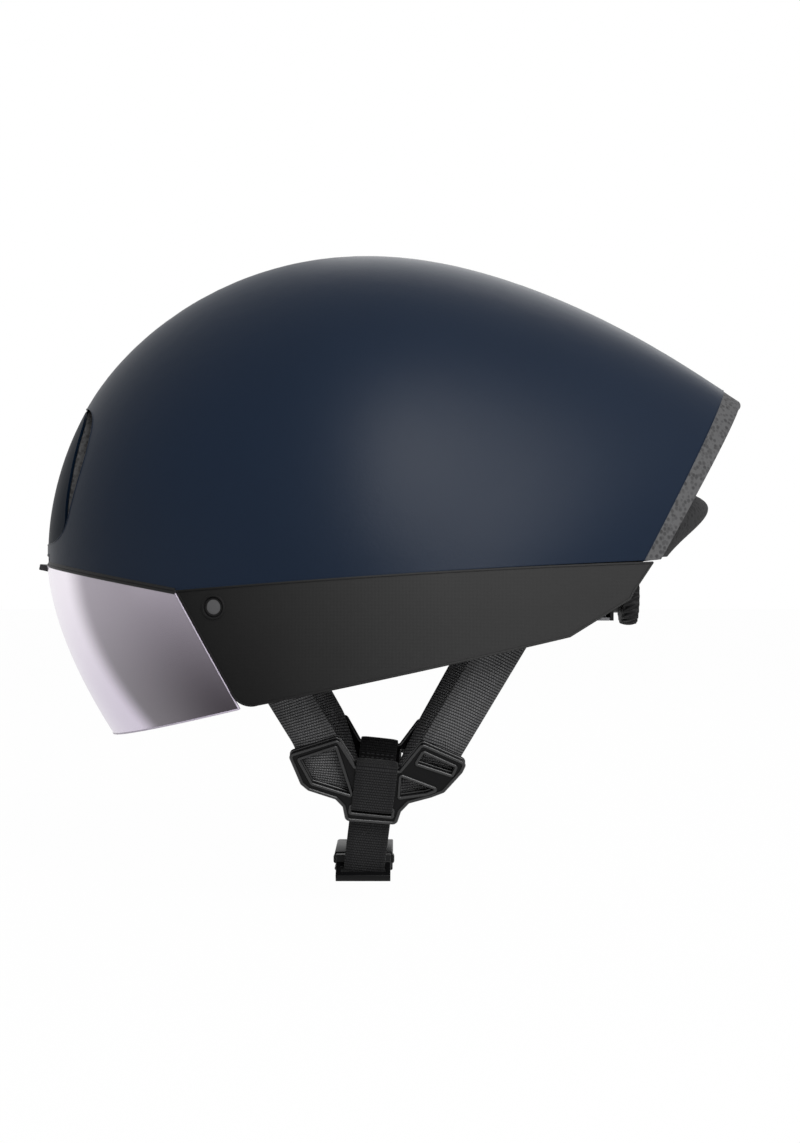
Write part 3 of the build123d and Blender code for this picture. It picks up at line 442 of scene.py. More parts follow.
@dataclass(frozen=True)
class BeadFoam:
    """Expanded bead foam: a grey skin with a soft dark dimple where each bead lies."""

    name: str = "bead_foam"
    skin: Colour = tint(86, 86, 87)
    dimple: Colour = tint(56, 56, 57)
    pitch: float = 0.0019
    spread: float = 0.8
    dimple_edge: float = 0.6
    dimple_heart: float = 0.26
    faintest: float = 0.45
    cloud_scale: float = 120.0
    cloud_shade: float = 0.86
    pore_scale: float = 4200.0
    pore_share: float = 0.15
    dimple_share: float = 0.8
    depth: float = 0.00025
    rough: float = 0.8
    dimple_shine: float = 0.1
    gloss: float = 0.12

    def make(self) -> bpy.types.Material:
        """Build the material.

        Returns:
            The finished material.
        """
        r = Recipe(self.name, {"Specular IOR Level": self.gloss})
        bead = r.cells(1 / self.pitch, self.spread)
        apart = Field(r, bead.outputs["Distance"])
        tone = Field(r, r.node("ShaderNodeSeparateColor", sockets={0: bead.outputs["Color"]}).outputs[0])
        strength = tone * (1 - self.faintest) + self.faintest
        spot = r.step(apart, self.dimple_edge, self.dimple_heart) * strength
        skin = r.mix(r.noise(self.cloud_scale, 3.0), r.shade(self.cloud_shade, self.skin), self.skin)
        height = 1.0 - spot * self.dimple_share + r.noise(self.pore_scale) * self.pore_share
        rough = self.rough - spot * self.dimple_shine
        return r.finish(r.mix(spot, skin, self.dimple), height, self.depth, roughness=rough)


@dataclass(frozen=True)
class PanelFinish:
    """Charcoal ear panel with a very fine diagonal weave, and painted shade that darkens it towards its toe.
    """

    name: str = "panel_charcoal_weave"
    low: Colour = tint(6, 6, 6)
    high: Colour = tint(52, 52, 52)
    pitch: float = 0.0011
    # The toe and heel bound the painted shade, and its share says how much it darkens the panel.
    toe: float = -0.1
    heel: float = 0.05
    painted_shade_share: float = 0.7
    weave_share: float = 0.09
    cloud_share: float = 0.09
    cloud_scale: float = 30.0
    depth: float = 0.00005
    rough: float = 0.56
    uneven: float = 0.08
    gloss: float = 0.07

    def make(self) -> bpy.types.Material:
        """Build the material.

        Returns:
            The finished material.
        """
        r = Recipe(self.name, {"Specular IOR Level": self.gloss})
        turns = math.tau / self.pitch
        warp = r.maths("SINE", (r.x + r.z) * turns)
        weft = r.maths("SINE", (r.x - r.z) * turns)
        weave = warp * weft * 0.5 + 0.5
        # Painted shade: darker from the heel to the toe.
        along = r.step(r.x + r.z * 0.5, self.toe, self.heel)
        cloud = r.noise(self.cloud_scale, 3.0)
        tone = weave * self.weave_share + cloud * self.cloud_share + along * self.painted_shade_share
        rough = weave * self.uneven + self.rough
        return r.finish(r.mix(tone, self.low, self.high), weave, self.depth, roughness=rough)


@dataclass(frozen=True)
class LensFinish:
    """Mirror-coated smoke lens: a painted reflection makes it pale where it turns to the front, with a soft
    painted glow just behind that band; mauve grey behind, darker low down.
    """

    name: str = "visor_mirror_smoke"
    # The two front colours are a painted reflection: the pale band where the lens turns to the front, paler
    # higher up.
    front: Colour = tint(253, 246, 255)
    reflection_low: Colour = tint(214, 205, 221)
    high: Colour = tint(146, 139, 149)
    low: Colour = tint(58, 53, 59)
    foot: float = -0.064
    brow: float = 0.004
    band_top: float = -0.1093
    band_slope: float = -0.084
    band_turn: float = 6.9
    band_soft: float = 0.006
    # The glow's reach and share set a soft painted reflection just behind the band's edge.
    reflection_glow_reach: float = 0.045
    reflection_glow_share: float = 0.16
    sweep_scale: float = 9.0
    rough: float = 0.22
    rough_sweep: float = 0.05
    mirror: float = 0.74
    mirror_sweep: float = 0.08
    gloss: float = 0.3
    coat: float = 0.12
    coat_rough: float = 0.08

    def make(self) -> bpy.types.Material:
        """Build the material.

        Returns:
            The finished material.
        """
        coat = {"Coat Weight": self.coat, "Coat Roughness": self.coat_rough}
        r = Recipe(self.name, {"Specular IOR Level": self.gloss, **coat})
        fall = r.step(r.z, self.foot, self.brow)
        smoke = r.mix(fall, self.low, self.high)
        # Painted reflection: the pale band's colour.
        painted_reflection = r.mix(fall, self.reflection_low, self.front)
        reflection_edge = r.z * self.band_slope + r.z * r.z * self.band_turn + self.band_top
        behind = r.x - reflection_edge
        # Mask of the painted reflection band, in front of its edge.
        front = r.step(behind, self.band_soft, -self.band_soft)
        # A soft painted glow of the reflection just behind the band's edge.
        reflection_glow = r.step(behind, self.reflection_glow_reach, 0.0) * self.reflection_glow_share
        colour = r.mix(front, r.mix(reflection_glow, smoke, self.front), painted_reflection)
        sweep = r.noise(self.sweep_scale, 1.0)
        rough = sweep * self.rough_sweep + self.rough
        return r.finish(colour, roughness=rough, metallic=sweep * self.mirror_sweep + self.mirror)


@dataclass(frozen=True)
class Moulding:
    """Moulded plastic with a fine spark grain."""

    name: str
    colour: Colour
    rough: float = 0.42
    grain_depth: float = 0.00003
    grain_scale: float = 1800.0
    specular: float = 0.2
    cloud_scale: float = 60.0
    shade: float = 0.82
    uneven: float = 0.12

    def make(self) -> bpy.types.Material:
        """Build the material.

        Returns:
            The finished material.
        """
        r = Recipe(self.name, {"Specular IOR Level": self.specular})
        grain = r.noise(self.grain_scale, 3.0)
        cloud = r.noise(self.cloud_scale, 3.0)
        colour = r.mix((grain + cloud) * 0.5, r.shade(self.shade, self.colour), self.colour)
        return r.finish(colour, grain, self.grain_depth, roughness=cloud * self.uneven + self.rough)


@dataclass(frozen=True)
class Plating:
    """Plated steel with a brushed grain."""

    name: str
    colour: Colour = tint(176, 176, 180)
    grain_scale: float = 2400.0
    grain_depth: float = 0.00002
    shade: float = 0.8
    rough: float = 0.28
    rough_grain: float = 0.12
    metal: float = 0.94
    metal_grain: float = 0.04

    def make(self) -> bpy.types.Material:
        """Build the material.

        Returns:
            The finished material.
        """
        r = Recipe(self.name, {})
        grain = r.noise(self.grain_scale, 4.0)
        colour = r.mix(grain, r.shade(self.shade, self.colour), self.colour)
        rough = grain * self.rough_grain + self.rough
        metal = grain * self.metal_grain + self.metal
        return r.finish(colour, grain, self.grain_depth, roughness=rough, metallic=metal)


@dataclass(frozen=True)
class TapeWeave:
    """Woven tape: ribs across it, in brick rows, read from the tape's own map in metres."""

    name: str = "webbing_ribbed"
    thread: Colour = tint(108, 108, 109)
    hollow: Colour = tint(18, 18, 19)
    rib: float = 0.00125
    strand: float = 0.00105
    middle_half: float = 0.0048
    margin_half: float = 0.0062
    fuzz_scale: float = 3800.0
    fuzz_share: float = 0.15
    fuzz_tone: float = 0.5
    least_tone: float = 0.72
    rib_foot: float = 0.05
    rib_crown: float = 0.85
    knot_floor: float = 0.42
    margin_knot: float = 0.3
    middle_knot: float = 0.35
    depth: float = 0.00035
    rough: float = 0.74
    knot_shine: float = 0.1
    gloss: float = 0.12
    sheen: float = 0.05
    sheen_rough: float = 0.5

    def make(self) -> bpy.types.Material:
        """Build the material.

        Returns:
            The finished material.
        """
        sheen = {"Sheen Weight": self.sheen, "Sheen Roughness": self.sheen_rough}
        r = Recipe(self.name, {"Specular IOR Level": self.gloss, **sheen})
        chart = r.node("ShaderNodeUVMap", {"uv_map": "tape"})
        split = r.node("ShaderNodeSeparateXYZ", sockets={0: chart.outputs[0]})
        across, along = Field(r, split.outputs[0]), Field(r, split.outputs[1])
        row = along / self.rib
        odd = r.maths("MODULO", r.maths("FLOOR", row), 2.0)
        rib = r.maths("SINE", r.maths("FRACT", row) * math.pi)
        strand = r.maths("SINE", r.maths("FRACT", across / self.strand + odd * 0.5) * math.pi)
        middle = r.step(r.maths("ABSOLUTE", across), self.margin_half, self.middle_half)
        raised = strand * (middle * self.middle_knot + self.margin_knot) + self.knot_floor
        knot = r.step(rib, self.rib_foot, self.rib_crown) * raised
        fuzz = r.noise(self.fuzz_scale, 3.0)
        tone = knot * (fuzz * self.fuzz_tone + self.least_tone)
        height = knot * (1 - self.fuzz_share) + fuzz * self.fuzz_share
        rough = self.rough - knot * self.knot_shine
        return r.finish(r.mix(tone, self.hollow, self.thread), height, self.depth, roughness=rough)


@dataclass(frozen=True)
class PadKnit:
    """Brushed knit over soft foam."""

    name: str = "pad_knit"
    loop: Colour = tint(46, 46, 49)
    hollow: Colour = tint(18, 18, 20)
    loop_scale: float = 760.0
    loop_edge: float = 0.62
    loop_heart: float = 0.08
    fuzz_scale: float = 3000.0
    fuzz_tone: float = 0.2
    fuzz_relief: float = 0.3
    depth: float = 0.0003
    rough: float = 0.82
    loop_shine: float = 0.06
    gloss: float = 0.1
    sheen: float = 0.2
    sheen_rough: float = 0.5

    def make(self) -> bpy.types.Material:
        """Build the material.

        Returns:
            The finished material.
        """
        sheen = {"Sheen Weight": self.sheen, "Sheen Roughness": self.sheen_rough}
        r = Recipe(self.name, {"Specular IOR Level": self.gloss, **sheen})
        apart = Field(r, r.cells(self.loop_scale).outputs["Distance"])
        loop = r.step(apart, self.loop_edge, self.loop_heart)
        fuzz = r.noise(self.fuzz_scale, 4.0)
        tone = loop * (1 - self.fuzz_tone) + fuzz * self.fuzz_tone
        height = loop * (1 - self.fuzz_relief) + fuzz * self.fuzz_relief
        rough = self.rough - loop * self.loop_shine
        return r.finish(r.mix(tone, self.hollow, self.loop), height, self.depth, roughness=rough)


class Wardrobe:
    """Every finish and every tree, made once and looked up by name."""

    def __init__(self) -> None:
        """Make all the materials and trees."""
        self.shell = ShellFinish().make()
        self.foam = BeadFoam().make()
        # Painted shade: a darker copy of the bead foam for the exhaust lip.
        self.foam_painted_shade = BeadFoam("bead_foam_tail", tint(50, 50, 51), tint(32, 32, 33)).make()
        self.panel = PanelFinish().make()
        self.lens = LensFinish().make()
        # Pale bead along the lens's edges: a painted highlight.
        self.lens_rim_highlight = Moulding("lens_edge_pale", tint(196, 186, 204), 0.2, specular=0.3).make()
        self.black = Moulding("moulded_black", tint(14, 14, 15)).make()
        self.divider = Moulding("divider_black", tint(11, 11, 12), 0.34, specular=0.12).make()
        # The rim bead is lighter than the divider itself: a painted highlight.
        self.divider_rim_highlight = Moulding("divider_edge_black", tint(20, 20, 21), 0.3, specular=0.5).make()
        self.button = Moulding("button_grey", tint(80, 80, 81), 0.34).make()
        self.tab = Moulding("tab_dark_grey", tint(58, 58, 60), 0.4).make()
        self.cradle = Moulding("cradle_grey", tint(128, 128, 131), 0.45).make()
        self.rubber = Moulding("knob_rubber", tint(20, 20, 21), 0.5, 0.00005, 2400.0).make()
        self.steel = Plating("plated_steel").make()
        self.tape = TapeWeave().make()
        self.chin_tape = TapeWeave("webbing_ribbed_dark", tint(41, 41, 42), tint(7, 7, 8)).make()
        self.bar_skin = ShellFinish("nose_bar_navy", tint(1, 11, 24), tint(3, 15, 29), gloss=0.02).make()
        self.stitch = Moulding("stitch_thread", tint(70, 70, 72), 0.7).make()
        self.knit = PadKnit().make()
        self.rims = rolled_rims()
        self.row = straight_row()
        self.ring = slanted_ring()


# Mesh building

BODY_OF = {node: body for body, nodes in frame["record"]["behaviour"]["bodies"].items() for node in nodes}
SLOT_OF = {row["node"]: row["material_slot"] for row in frame["record"]["subparts"]}
MERGE_GAP = 2e-6
TINY = 1e-9
FLAT_TURN = math.radians(0.6)
BEVEL_TURN = math.radians(35)
BEVEL_STEPS = 3
SHARP_TURN = math.radians(40)


def placed_object(name: str, mesh: bpy.types.Mesh) -> bpy.types.Object:
    """Put a mesh into the scene as an object at the origin.

    Args:
        name: The object's name.
        mesh: Its mesh.

    Returns:
        The new object.
    """
    made = bpy.data.objects.new(name, mesh)
    bpy.context.scene.collection.objects.link(made)
    return made


def all_smooth(mesh: bpy.types.Mesh) -> None:
    """Shade every face of a mesh smoothly."""
    mesh.polygons.foreach_set("use_smooth", [True] * len(mesh.polygons))


def solid_piece(
    name: str, points: Iterable[Sequence[float]], faces: Iterable[Sequence[int]], material: bpy.types.Material
) -> bpy.types.Object:
    """Make a smooth mesh object at the origin.

    Args:
        name: The piece's name.
        points: Its corners in metres.
        faces: Its faces as corner numbers.
        material: Its finish.

    Returns:
        The new object.
    """
    mesh = bpy.data.meshes.new(name)
    mesh.from_pydata([tuple(p) for p in points], [], [tuple(f) for f in faces])
    all_smooth(mesh)
    mesh.materials.append(material)
    return placed_object(name, mesh)


def applied(piece: bpy.types.Object) -> bpy.types.Object:
    """Turn a piece's modifiers into its mesh.

    Args:
        piece: The piece.

    Returns:
        The same piece with its final mesh.
    """
    bpy.context.view_layer.update()
    result = bpy.data.meshes.new_from_object(piece.evaluated_get(bpy.context.evaluated_depsgraph_get()))
    piece.modifiers.clear()
    piece.data = result
    return piece


def copied(node: str, name: str, material: bpy.types.Material) -> bpy.types.Object:
    """Copy a solid's mesh, merge its loose triangles and join its flat faces.

    Args:
        node: The solid to copy.
        name: The copy's name.
        material: The copy's finish.

    Returns:
        The merged copy.
    """
    work = bmesh.new()
    work.from_mesh(frame["nodes"][node].data)
    bmesh.ops.remove_doubles(work, verts=work.verts, dist=MERGE_GAP)
    bmesh.ops.dissolve_limit(work, angle_limit=FLAT_TURN, verts=work.verts, edges=work.edges)
    mesh = bpy.data.meshes.new(name)
    work.to_mesh(mesh)
    work.free()
    mesh.materials.append(material)
    return placed_object(name, mesh)


def softened(node: str, material: bpy.types.Material, width: float) -> bpy.types.Object:
    """Replace a solid by a copy whose sharp edges are rounded.

    Args:
        node: The solid to replace.
        material: Its finish.
        width: The rounding in metres.

    Returns:
        The rounded piece, riding on the solid's body.
    """
    piece = copied(node, f"{node}_rounded", material)
    bevel = piece.modifiers.new("edges", "BEVEL")
    bevel.width, bevel.segments, bevel.limit_method = width, BEVEL_STEPS, "ANGLE"
    bevel.angle_limit = BEVEL_TURN
    bevel.use_clamp_overlap = True
    bevel.harden_normals = False
    applied(piece)
    all_smooth(piece.data)
    piece.data.set_sharp_from_angle(angle=SHARP_TURN)
    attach(piece, BODY_OF[node])
    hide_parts(node)
    return piece


def dress(material: bpy.types.Material, *nodes: str) -> None:
    """Give carried-over solids their finish.

    Args:
        material: The finish.
        *nodes: The solids.
    """
    for node in nodes:
        slots = frame["nodes"][node].data.materials
        slots.clear()
        slots.append(material)
        LOG.info("dressed %s", node)


def rim(node: str, material: bpy.types.Material, rims: Plan, radius: float) -> None:
    """Lay a round bead along a solid's sharp edges.

    Args:
        node: The solid.
        material: The bead's finish.
        rims: The tree that makes it.
        radius: The bead's radius in metres.
    """
    piece = copied(node, f"{node}_rim", material)
    rims.run(piece, material, BODY_OF[node], SLOT_OF[node], Radius=radius, Turn=SHARP_TURN)


def seed_piece(name: str) -> bpy.types.Object:
    """An empty mesh for a tree to fill."""
    return placed_object(name, bpy.data.meshes.new(name))


# Webbing


@dataclass
class Tape:
    """A woven band through stations, each a left and a right edge point in metres."""

    name: str
    stations: list[Station]
    wall: float = 0.0012
    bend: float = 0.003
    crease: float = 0.0
    rib: float = 0.00125
    rib_relief: float = 0.16
    rows_per_rib: int = 3
    columns: int = 14
    edge_power: int = 5
    stride: float = 0.002
    corner_steps: int = 6
    bend_limit: float = 0.45
    weld: float = 0.000001

    def rounded(self) -> list[tuple[Vector, Vector, float]]:
        """Round the band's corners.

        Returns:
            Its edge points in order, each pair with its distance along the band.
        """
        middles = [(left + right) / 2 for left, right in self.stations]
        places: list[Station] = []
        for number in range(len(self.stations) - 1):
            run = (middles[number + 1] - middles[number]).length
            trim = min(self.bend / run, self.bend_limit)
            low = trim if number else 0.0
            high = 1 - trim if number < len(self.stations) - 2 else 1.0
            steps = max(2, int((high - low) * run / self.stride))
            for step in range(steps + 1):
                share = low + (high - low) * step / steps
                places.append(tuple(a.lerp(b, share) for a, b in zip(*self.stations[number : number + 2])))
            if high < 1.0:
                after = (middles[number + 2] - middles[number + 1]).length
                out = min(self.bend / after, self.bend_limit)
                corner = self.stations[number + 1]
                ahead = [a.lerp(b, out) for a, b in zip(corner, self.stations[number + 2])]
                for step in range(1, self.corner_steps):
                    share = step / self.corner_steps
                    edges = zip(places[-step], corner, ahead)
                    places.append(
                        tuple(a.lerp(c, share).lerp(c.lerp(b, share), share) for a, c, b in edges)
                    )
        distance, found = 0.0, []
        for number, (left, right) in enumerate(places):
            if number:
                before = places[number - 1]
                distance += ((left + right) / 2 - (before[0] + before[1]) / 2).length
            found.append((left, right, distance))
        return found

    def at(self, found: list[tuple[Vector, Vector, float]], distance: float) -> Station:
        """Find the band's edges at a distance along it.

        Args:
            found: The rounded band.
            distance: How far along it, in metres.

        Returns:
            The left and the right edge point.
        """
        for before, after in zip(found, found[1:]):
            if distance <= after[2]:
                share = (distance - before[2]) / max(after[2] - before[2], TINY)
                return before[0].lerp(after[0], share), before[1].lerp(after[1], share)
        return found[-1][0], found[-1][1]

    def build(self, material: bpy.types.Material) -> bpy.types.Object:
        """Make the band's mesh with its ribs and its map.

        Args:
            material: The woven finish.

        Returns:
            The band.
        """
        found = self.rounded()
        length = found[-1][2]
        rows = max(4, int(length / self.rib * self.rows_per_rib))
        count = self.columns
        shares = [math.sin(math.pi * (step / (count - 1) - 0.5)) for step in range(count)]
        points: list[Vector] = []
        chart: list[tuple[float, float]] = []
        centres = [self.at(found, length * row / rows) for row in range(rows + 1)]
        for row, (left, right) in enumerate(centres):
            before, after = centres[max(row - 1, 0)], centres[min(row + 1, rows)]
            tangent = (after[0] + after[1] - before[0] - before[1]).normalized()
            across = (right - left).normalized()
            facing = across.cross(tangent).normalized()
            along = length * row / rows
            middle, half = (left + right) / 2, (right - left).length / 2
            rib = 1 + self.rib_relief * math.cos(math.tau * along / self.rib)
            for side in (1, -1):
                for share in shares if side > 0 else shares[::-1]:
                    thick = self.wall / 2 * max(0.0, 1 - abs(share) ** self.edge_power) ** 0.5 * rib
                    fold = self.crease * (1 - abs(share))
                    points.append(middle + across * (half * share) + facing * (side * thick + fold))
                    chart.append((half * share, along))
        ring = 2 * count
        faces: list[tuple[int, ...]] = []
        for low in range(0, rows * ring, ring):
            turns = ((c, (c + 1) % ring) for c in range(ring))
            faces += [(low + c, low + ring + c, low + ring + d, low + d) for c, d in turns]
        faces.append(tuple(range(ring)))
        faces.append(tuple(rows * ring + c for c in reversed(range(ring))))
        piece = solid_piece(self.name, points, faces, material)
        layer = piece.data.uv_layers.new(name="tape")
        corners = np.empty(len(piece.data.loops), dtype=np.int64)
        piece.data.loops.foreach_get("vertex_index", corners)
        layer.data.foreach_set("uv", np.array(chart, dtype=np.float32)[corners].ravel())
        work = bmesh.new()
        work.from_mesh(piece.data)
        bmesh.ops.remove_doubles(work, verts=work.verts, dist=self.weld)
        bmesh.ops.recalc_face_normals(work, faces=work.faces)
        work.to_mesh(piece.data)
        work.free()
        return piece


@dataclass
class Webbing:
    """The bands of both sides, held by the liner's anchors, the dividers and the buckle.

    The ends of the side bands are given across the divider and down it, those of the chin band down it
    and out of it, and the chin band's loop and its rows of stitches down it. All are in millimetres from
    the middle of the divider's head.
    """

    head: Vector = Vector((0.0172, -0.054, -0.0803))
    foot: Vector = Vector((0.0144, -0.0446, -0.103))
    front_anchor: Vector = Vector((-0.044, -0.072, -0.009))
    rear_anchor: Vector = Vector((0.0785, -0.0695, -0.013))
    front_ends: Places = ((-35.0, -3.0), (-18.0, -10.2), (-28.6, 14.6), (-5.6, 18.9))
    rear_ends: Places = ((17.5, -12.0), (34.6, -6.3), (7.5, 19.0), (28.6, 11.0))
    near_end: Places = ((54.4, -4.0),)
    far_end: Places = ((50.0, -13.9), (54.0, -12.3))
    width: float = 0.018
    chin_width: float = 0.0174
    layer: float = -0.004
    behind: float = -0.0057
    front: float = 0.001
    loop_downs: tuple[float, ...] = (11.9, 1.2, 0.4, 0.4, 1.2, 21.4, 22.6, 28.4)
    loop_corner: float = 0.0008
    rear_crease: float = 0.0012
    side_bend: float = 0.003
    chin_bend: float = 0.0006
    stitch_rows: tuple[float, ...] = (8.6, 10.4)
    stitch_count: int = 7
    stitch_half: float = 0.0068
    stitch_depth: float = 0.0008
    stitch_size: Vector = Vector((0.00028, 0.00028, 0.0008))

    def __post_init__(self) -> None:
        """Work out the divider's directions."""
        self.down = (self.foot - self.head).normalized()
        self.wide = (Vector((1, 0, 0)) - self.down * self.down.x).normalized()
        self.out = self.down.cross(self.wide)

    def on(self, across: float, down: float, depth: float) -> Vector:
        """A place on the divider in metres across, down and out of it."""
        return self.head + self.wide * across + self.down * down + self.out * depth

    def side_band(self, anchor: Vector, ends: Places) -> list[Station]:
        """Lead a band from an anchor to its place behind the divider.

        Args:
            anchor: Where it leaves the liner.
            ends: Its left and right edge at the divider's head, then at its foot.

        Returns:
            The band's stations.
        """
        head_left, head_right, foot_left, foot_right = (self.on(a * MM, d * MM, self.layer) for a, d in ends)
        rise = (anchor - (head_left + head_right) / 2).normalized()
        level = (Vector((1, 0, 0)) - rise * rise.x).normalized() * (self.width / 2)
        return [(anchor - level, anchor + level), (head_left, head_right), (foot_left, foot_right)]

    def chin_band(self, ends: Places) -> list[Station]:
        """Loop a band over the divider's head and out through the slot in its foot.

        Args:
            ends: How far down and out it goes below the divider, in millimetres.

        Returns:
            The band's stations.
        """
        depths = (
            self.behind, self.behind, self.behind + self.loop_corner, self.front - self.loop_corner,
            self.front, self.front, self.layer, self.layer,
        )
        places = list(zip(self.loop_downs, depths)) + [(down, depth * MM) for down, depth in ends]
        half = self.chin_width / 2
        return [(self.on(-half, d * MM, depth), self.on(half, d * MM, depth)) for d, depth in places]

    def build(self, finishes: Wardrobe) -> None:
        """Make the bands of both sides and hang them on their bodies, all but the left chin band, whose mesh
        is only fixed in place.

        Args:
            finishes: The helmet's finishes.
        """
        for side in Side:
            front = self.side_band(self.front_anchor, self.front_ends)
            rear = self.side_band(self.rear_anchor, self.rear_ends)
            chin = self.chin_band(self.near_end if side is Side.LEFT else self.far_end)
            plans = [
                ("front_strap", front, 0.0, self.side_bend),
                ("rear_strap", rear, self.rear_crease, self.side_bend),
                ("chin_strap", chin, 0.0, self.chin_bend),
            ]
            for stem, stations, crease, bend in plans:
                placed = [(side.place(left), side.place(right)) for left, right in stations]
                tape = Tape(f"{side.node(stem)}_woven", placed, crease=-crease * side.value, bend=bend)
                piece = tape.build(finishes.chin_tape if stem == "chin_strap" else finishes.tape)
                if stem == "chin_strap" and side is Side.LEFT:
                    self.on(0, 0.029, self.layer)
                    self.on(0, 0.052, self.layer)
                    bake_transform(piece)
                else:
                    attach(piece, "helmet")
                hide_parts(side.node(stem))
                LOG.info("woven band %s: %d faces", piece.name, len(piece.data.polygons))
            self.stitch(side, finishes)

    def stitch(self, side: Side, finishes: Wardrobe) -> None:
        """Sew the tail of a chin band behind its divider.

        Args:
            side: The side of the helmet.
            finishes: The helmet's finishes.
        """
        depth = self.behind - self.stitch_depth
        for number, down in enumerate(self.stitch_rows):
            ends = [side.place(self.on(share * self.stitch_half, down * MM, depth)) for share in (-1, 1)]
            row = seed_piece(f"{side.node('chin_stitches')}_{number + 1}")
            finishes.row.run(
                row, finishes.stitch, "helmet", "webbing", Start=ends[0], End=ends[1],
                Count=self.stitch_count, Lie=(ends[1] - ends[0]).normalized(), Size=self.stitch_size,
            )


# Sub-assemblies


@dataclass
class Shell:
    """The outer skin, its nose bar, the foam and the rim trim."""

    rolled: float = 0.0002
    trim: float = 0.0008
    dock: float = 0.0006

    def build(self, finishes: Wardrobe) -> None:
        """Dress the shell's pieces and roll their edges.

        Args:
            finishes: The helmet's finishes.
        """
        dress(finishes.shell, "outer_shell")
        dress(finishes.bar_skin, "nose_bar")
        dress(finishes.foam, "eps_liner")
        # The exhaust lip gets the darker foam copy, which is painted shade.
        dress(finishes.foam_painted_shade, "exhaust_lip")
        dress(finishes.black, "brow_trim", "brow_dock")
        rim("outer_shell", finishes.shell, finishes.rims, self.rolled)
        rim("brow_trim", finishes.black, finishes.rims, self.trim)
        rim("brow_dock", finishes.black, finishes.rims, self.dock)


@dataclass
class EarPanels:
    """The ear panels with their buttons, docks and magnets."""

    rolled: float = 0.0005
    button_round: float = 0.0003

    def build(self, finishes: Wardrobe) -> None:
        """Dress both panels.

        Args:
            finishes: The helmet's finishes.
        """
        for side in Side:
            dress(finishes.panel, side.node("ear_panel"))
            rim(side.node("ear_panel"), finishes.panel, finishes.rims, self.rolled)
            softened(side.node("panel_button"), finishes.button, self.button_round)
            dress(finishes.black, side.node("visor_dock"))
            dress(finishes.steel, side.node("dock_magnet"))


@dataclass
class Visor:
    """The lens with its tabs, clip, pull tab and magnets."""

    rolled: float = 0.00035
    tab_round: float = 0.0004

    def build(self, finishes: Wardrobe) -> None:
        """Dress the visor's pieces.

        Args:
            finishes: The helmet's finishes.
        """
        dress(finishes.lens, "visor_lens")
        # The pale bead on the lens edges is a painted highlight.
        rim("visor_lens", finishes.lens_rim_highlight, finishes.rims, self.rolled)
        softened("visor_pull_tab", finishes.tab, self.tab_round)
        dress(finishes.black, "visor_brow_clip", "visor_tab_left", "visor_tab_right")
        dress(finishes.steel, "visor_magnet_left", "visor_magnet_right")


@dataclass
class Retention:
    """The rail, cradle, dial, racks and side belts behind the head."""

    round: float = 0.0005
    rib_count: int = 22
    rib_size: Vector = Vector((0.0009, 0.00095, 0.0034))
    rib_slant: float = 0.5
    rib_sink: float = 0.0004
    grip_count: int = 5
    grip_thick: float = 0.0006
    grip_depth: float = 0.0016
    grip_span: tuple[float, float] = (0.56, 0.88)
    grip_height_share: float = 0.3

    def build(self, finishes: Wardrobe) -> None:
        """Dress the retention system.

        Args:
            finishes: The helmet's finishes.
        """
        plans = {
            "height_rail": finishes.black, "height_carriage": finishes.cradle, "cradle": finishes.cradle,
            "dial_housing": finishes.cradle, "dial_cover": finishes.black, "dial_knob": finishes.rubber,
            "rack_left": finishes.cradle, "rack_right": finishes.cradle,
        }
        for node, material in plans.items():
            softened(node, material, self.round)
        dress(finishes.steel, "dial_screw")
        dress(finishes.black, "dial_shaft", "belt_pin_left", "belt_pin_right")
        dress(finishes.cradle, "side_belt_left", "side_belt_right")
        for side in Side:
            self.grips(side, finishes)
        self.ribs(finishes)

    def ribs(self, finishes: Wardrobe) -> None:
        """Set slanted ribs round the dial."""
        low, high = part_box("dial_knob")
        finishes.ring.run(
            seed_piece("dial_ribs"), finishes.rubber, BODY_OF["dial_knob"], SLOT_OF["dial_knob"],
            Centre=(low + high) / 2, Radius=(high.y - low.y) / 2 - self.rib_sink, Count=self.rib_count,
            Slant=self.rib_slant, Size=self.rib_size,
        )

    def grips(self, side: Side, finishes: Wardrobe) -> None:
        """Set a row of upright grips on one half of the dial's cover.

        Args:
            side: The half.
            finishes: The helmet's finishes.
        """
        low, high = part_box("dial_housing")
        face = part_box("dial_cover")[0].x + self.grip_depth
        middle = (low.z + high.z) / 2
        first, last = (Vector((face, side.value * share * high.y, middle)) for share in self.grip_span)
        size = Vector((self.grip_thick, self.grip_thick, (high.z - low.z) * self.grip_height_share))
        grips = seed_piece(side.node("cover_grips"))
        finishes.row.run(
            grips, finishes.black, BODY_OF["dial_cover"], SLOT_OF["dial_cover"],
            Start=first, End=last, Count=self.grip_count, Lie=Vector((0, 0, 1)), Size=size,
        )


@dataclass
class Fastening:
    """The strap anchors, the dividers and the buckle."""

    round: float = 0.0009
    rolled: float = 0.0008

    def build(self, finishes: Wardrobe) -> None:
        """Dress the fastening's pieces.

        Args:
            finishes: The helmet's finishes.
        """
        for side in Side:
            dress(finishes.black, side.node("front_anchor"), side.node("rear_anchor"))
            dress(finishes.divider, side.node("divider"))
            # The rim bead's lighter colour is a painted highlight.
            rim(side.node("divider"), finishes.divider_rim_highlight, finishes.rims, self.rolled)
        for node in ("buckle_male", "buckle_female", "buckle_prong_front", "buckle_prong_rear"):
            softened(node, finishes.divider, self.round)


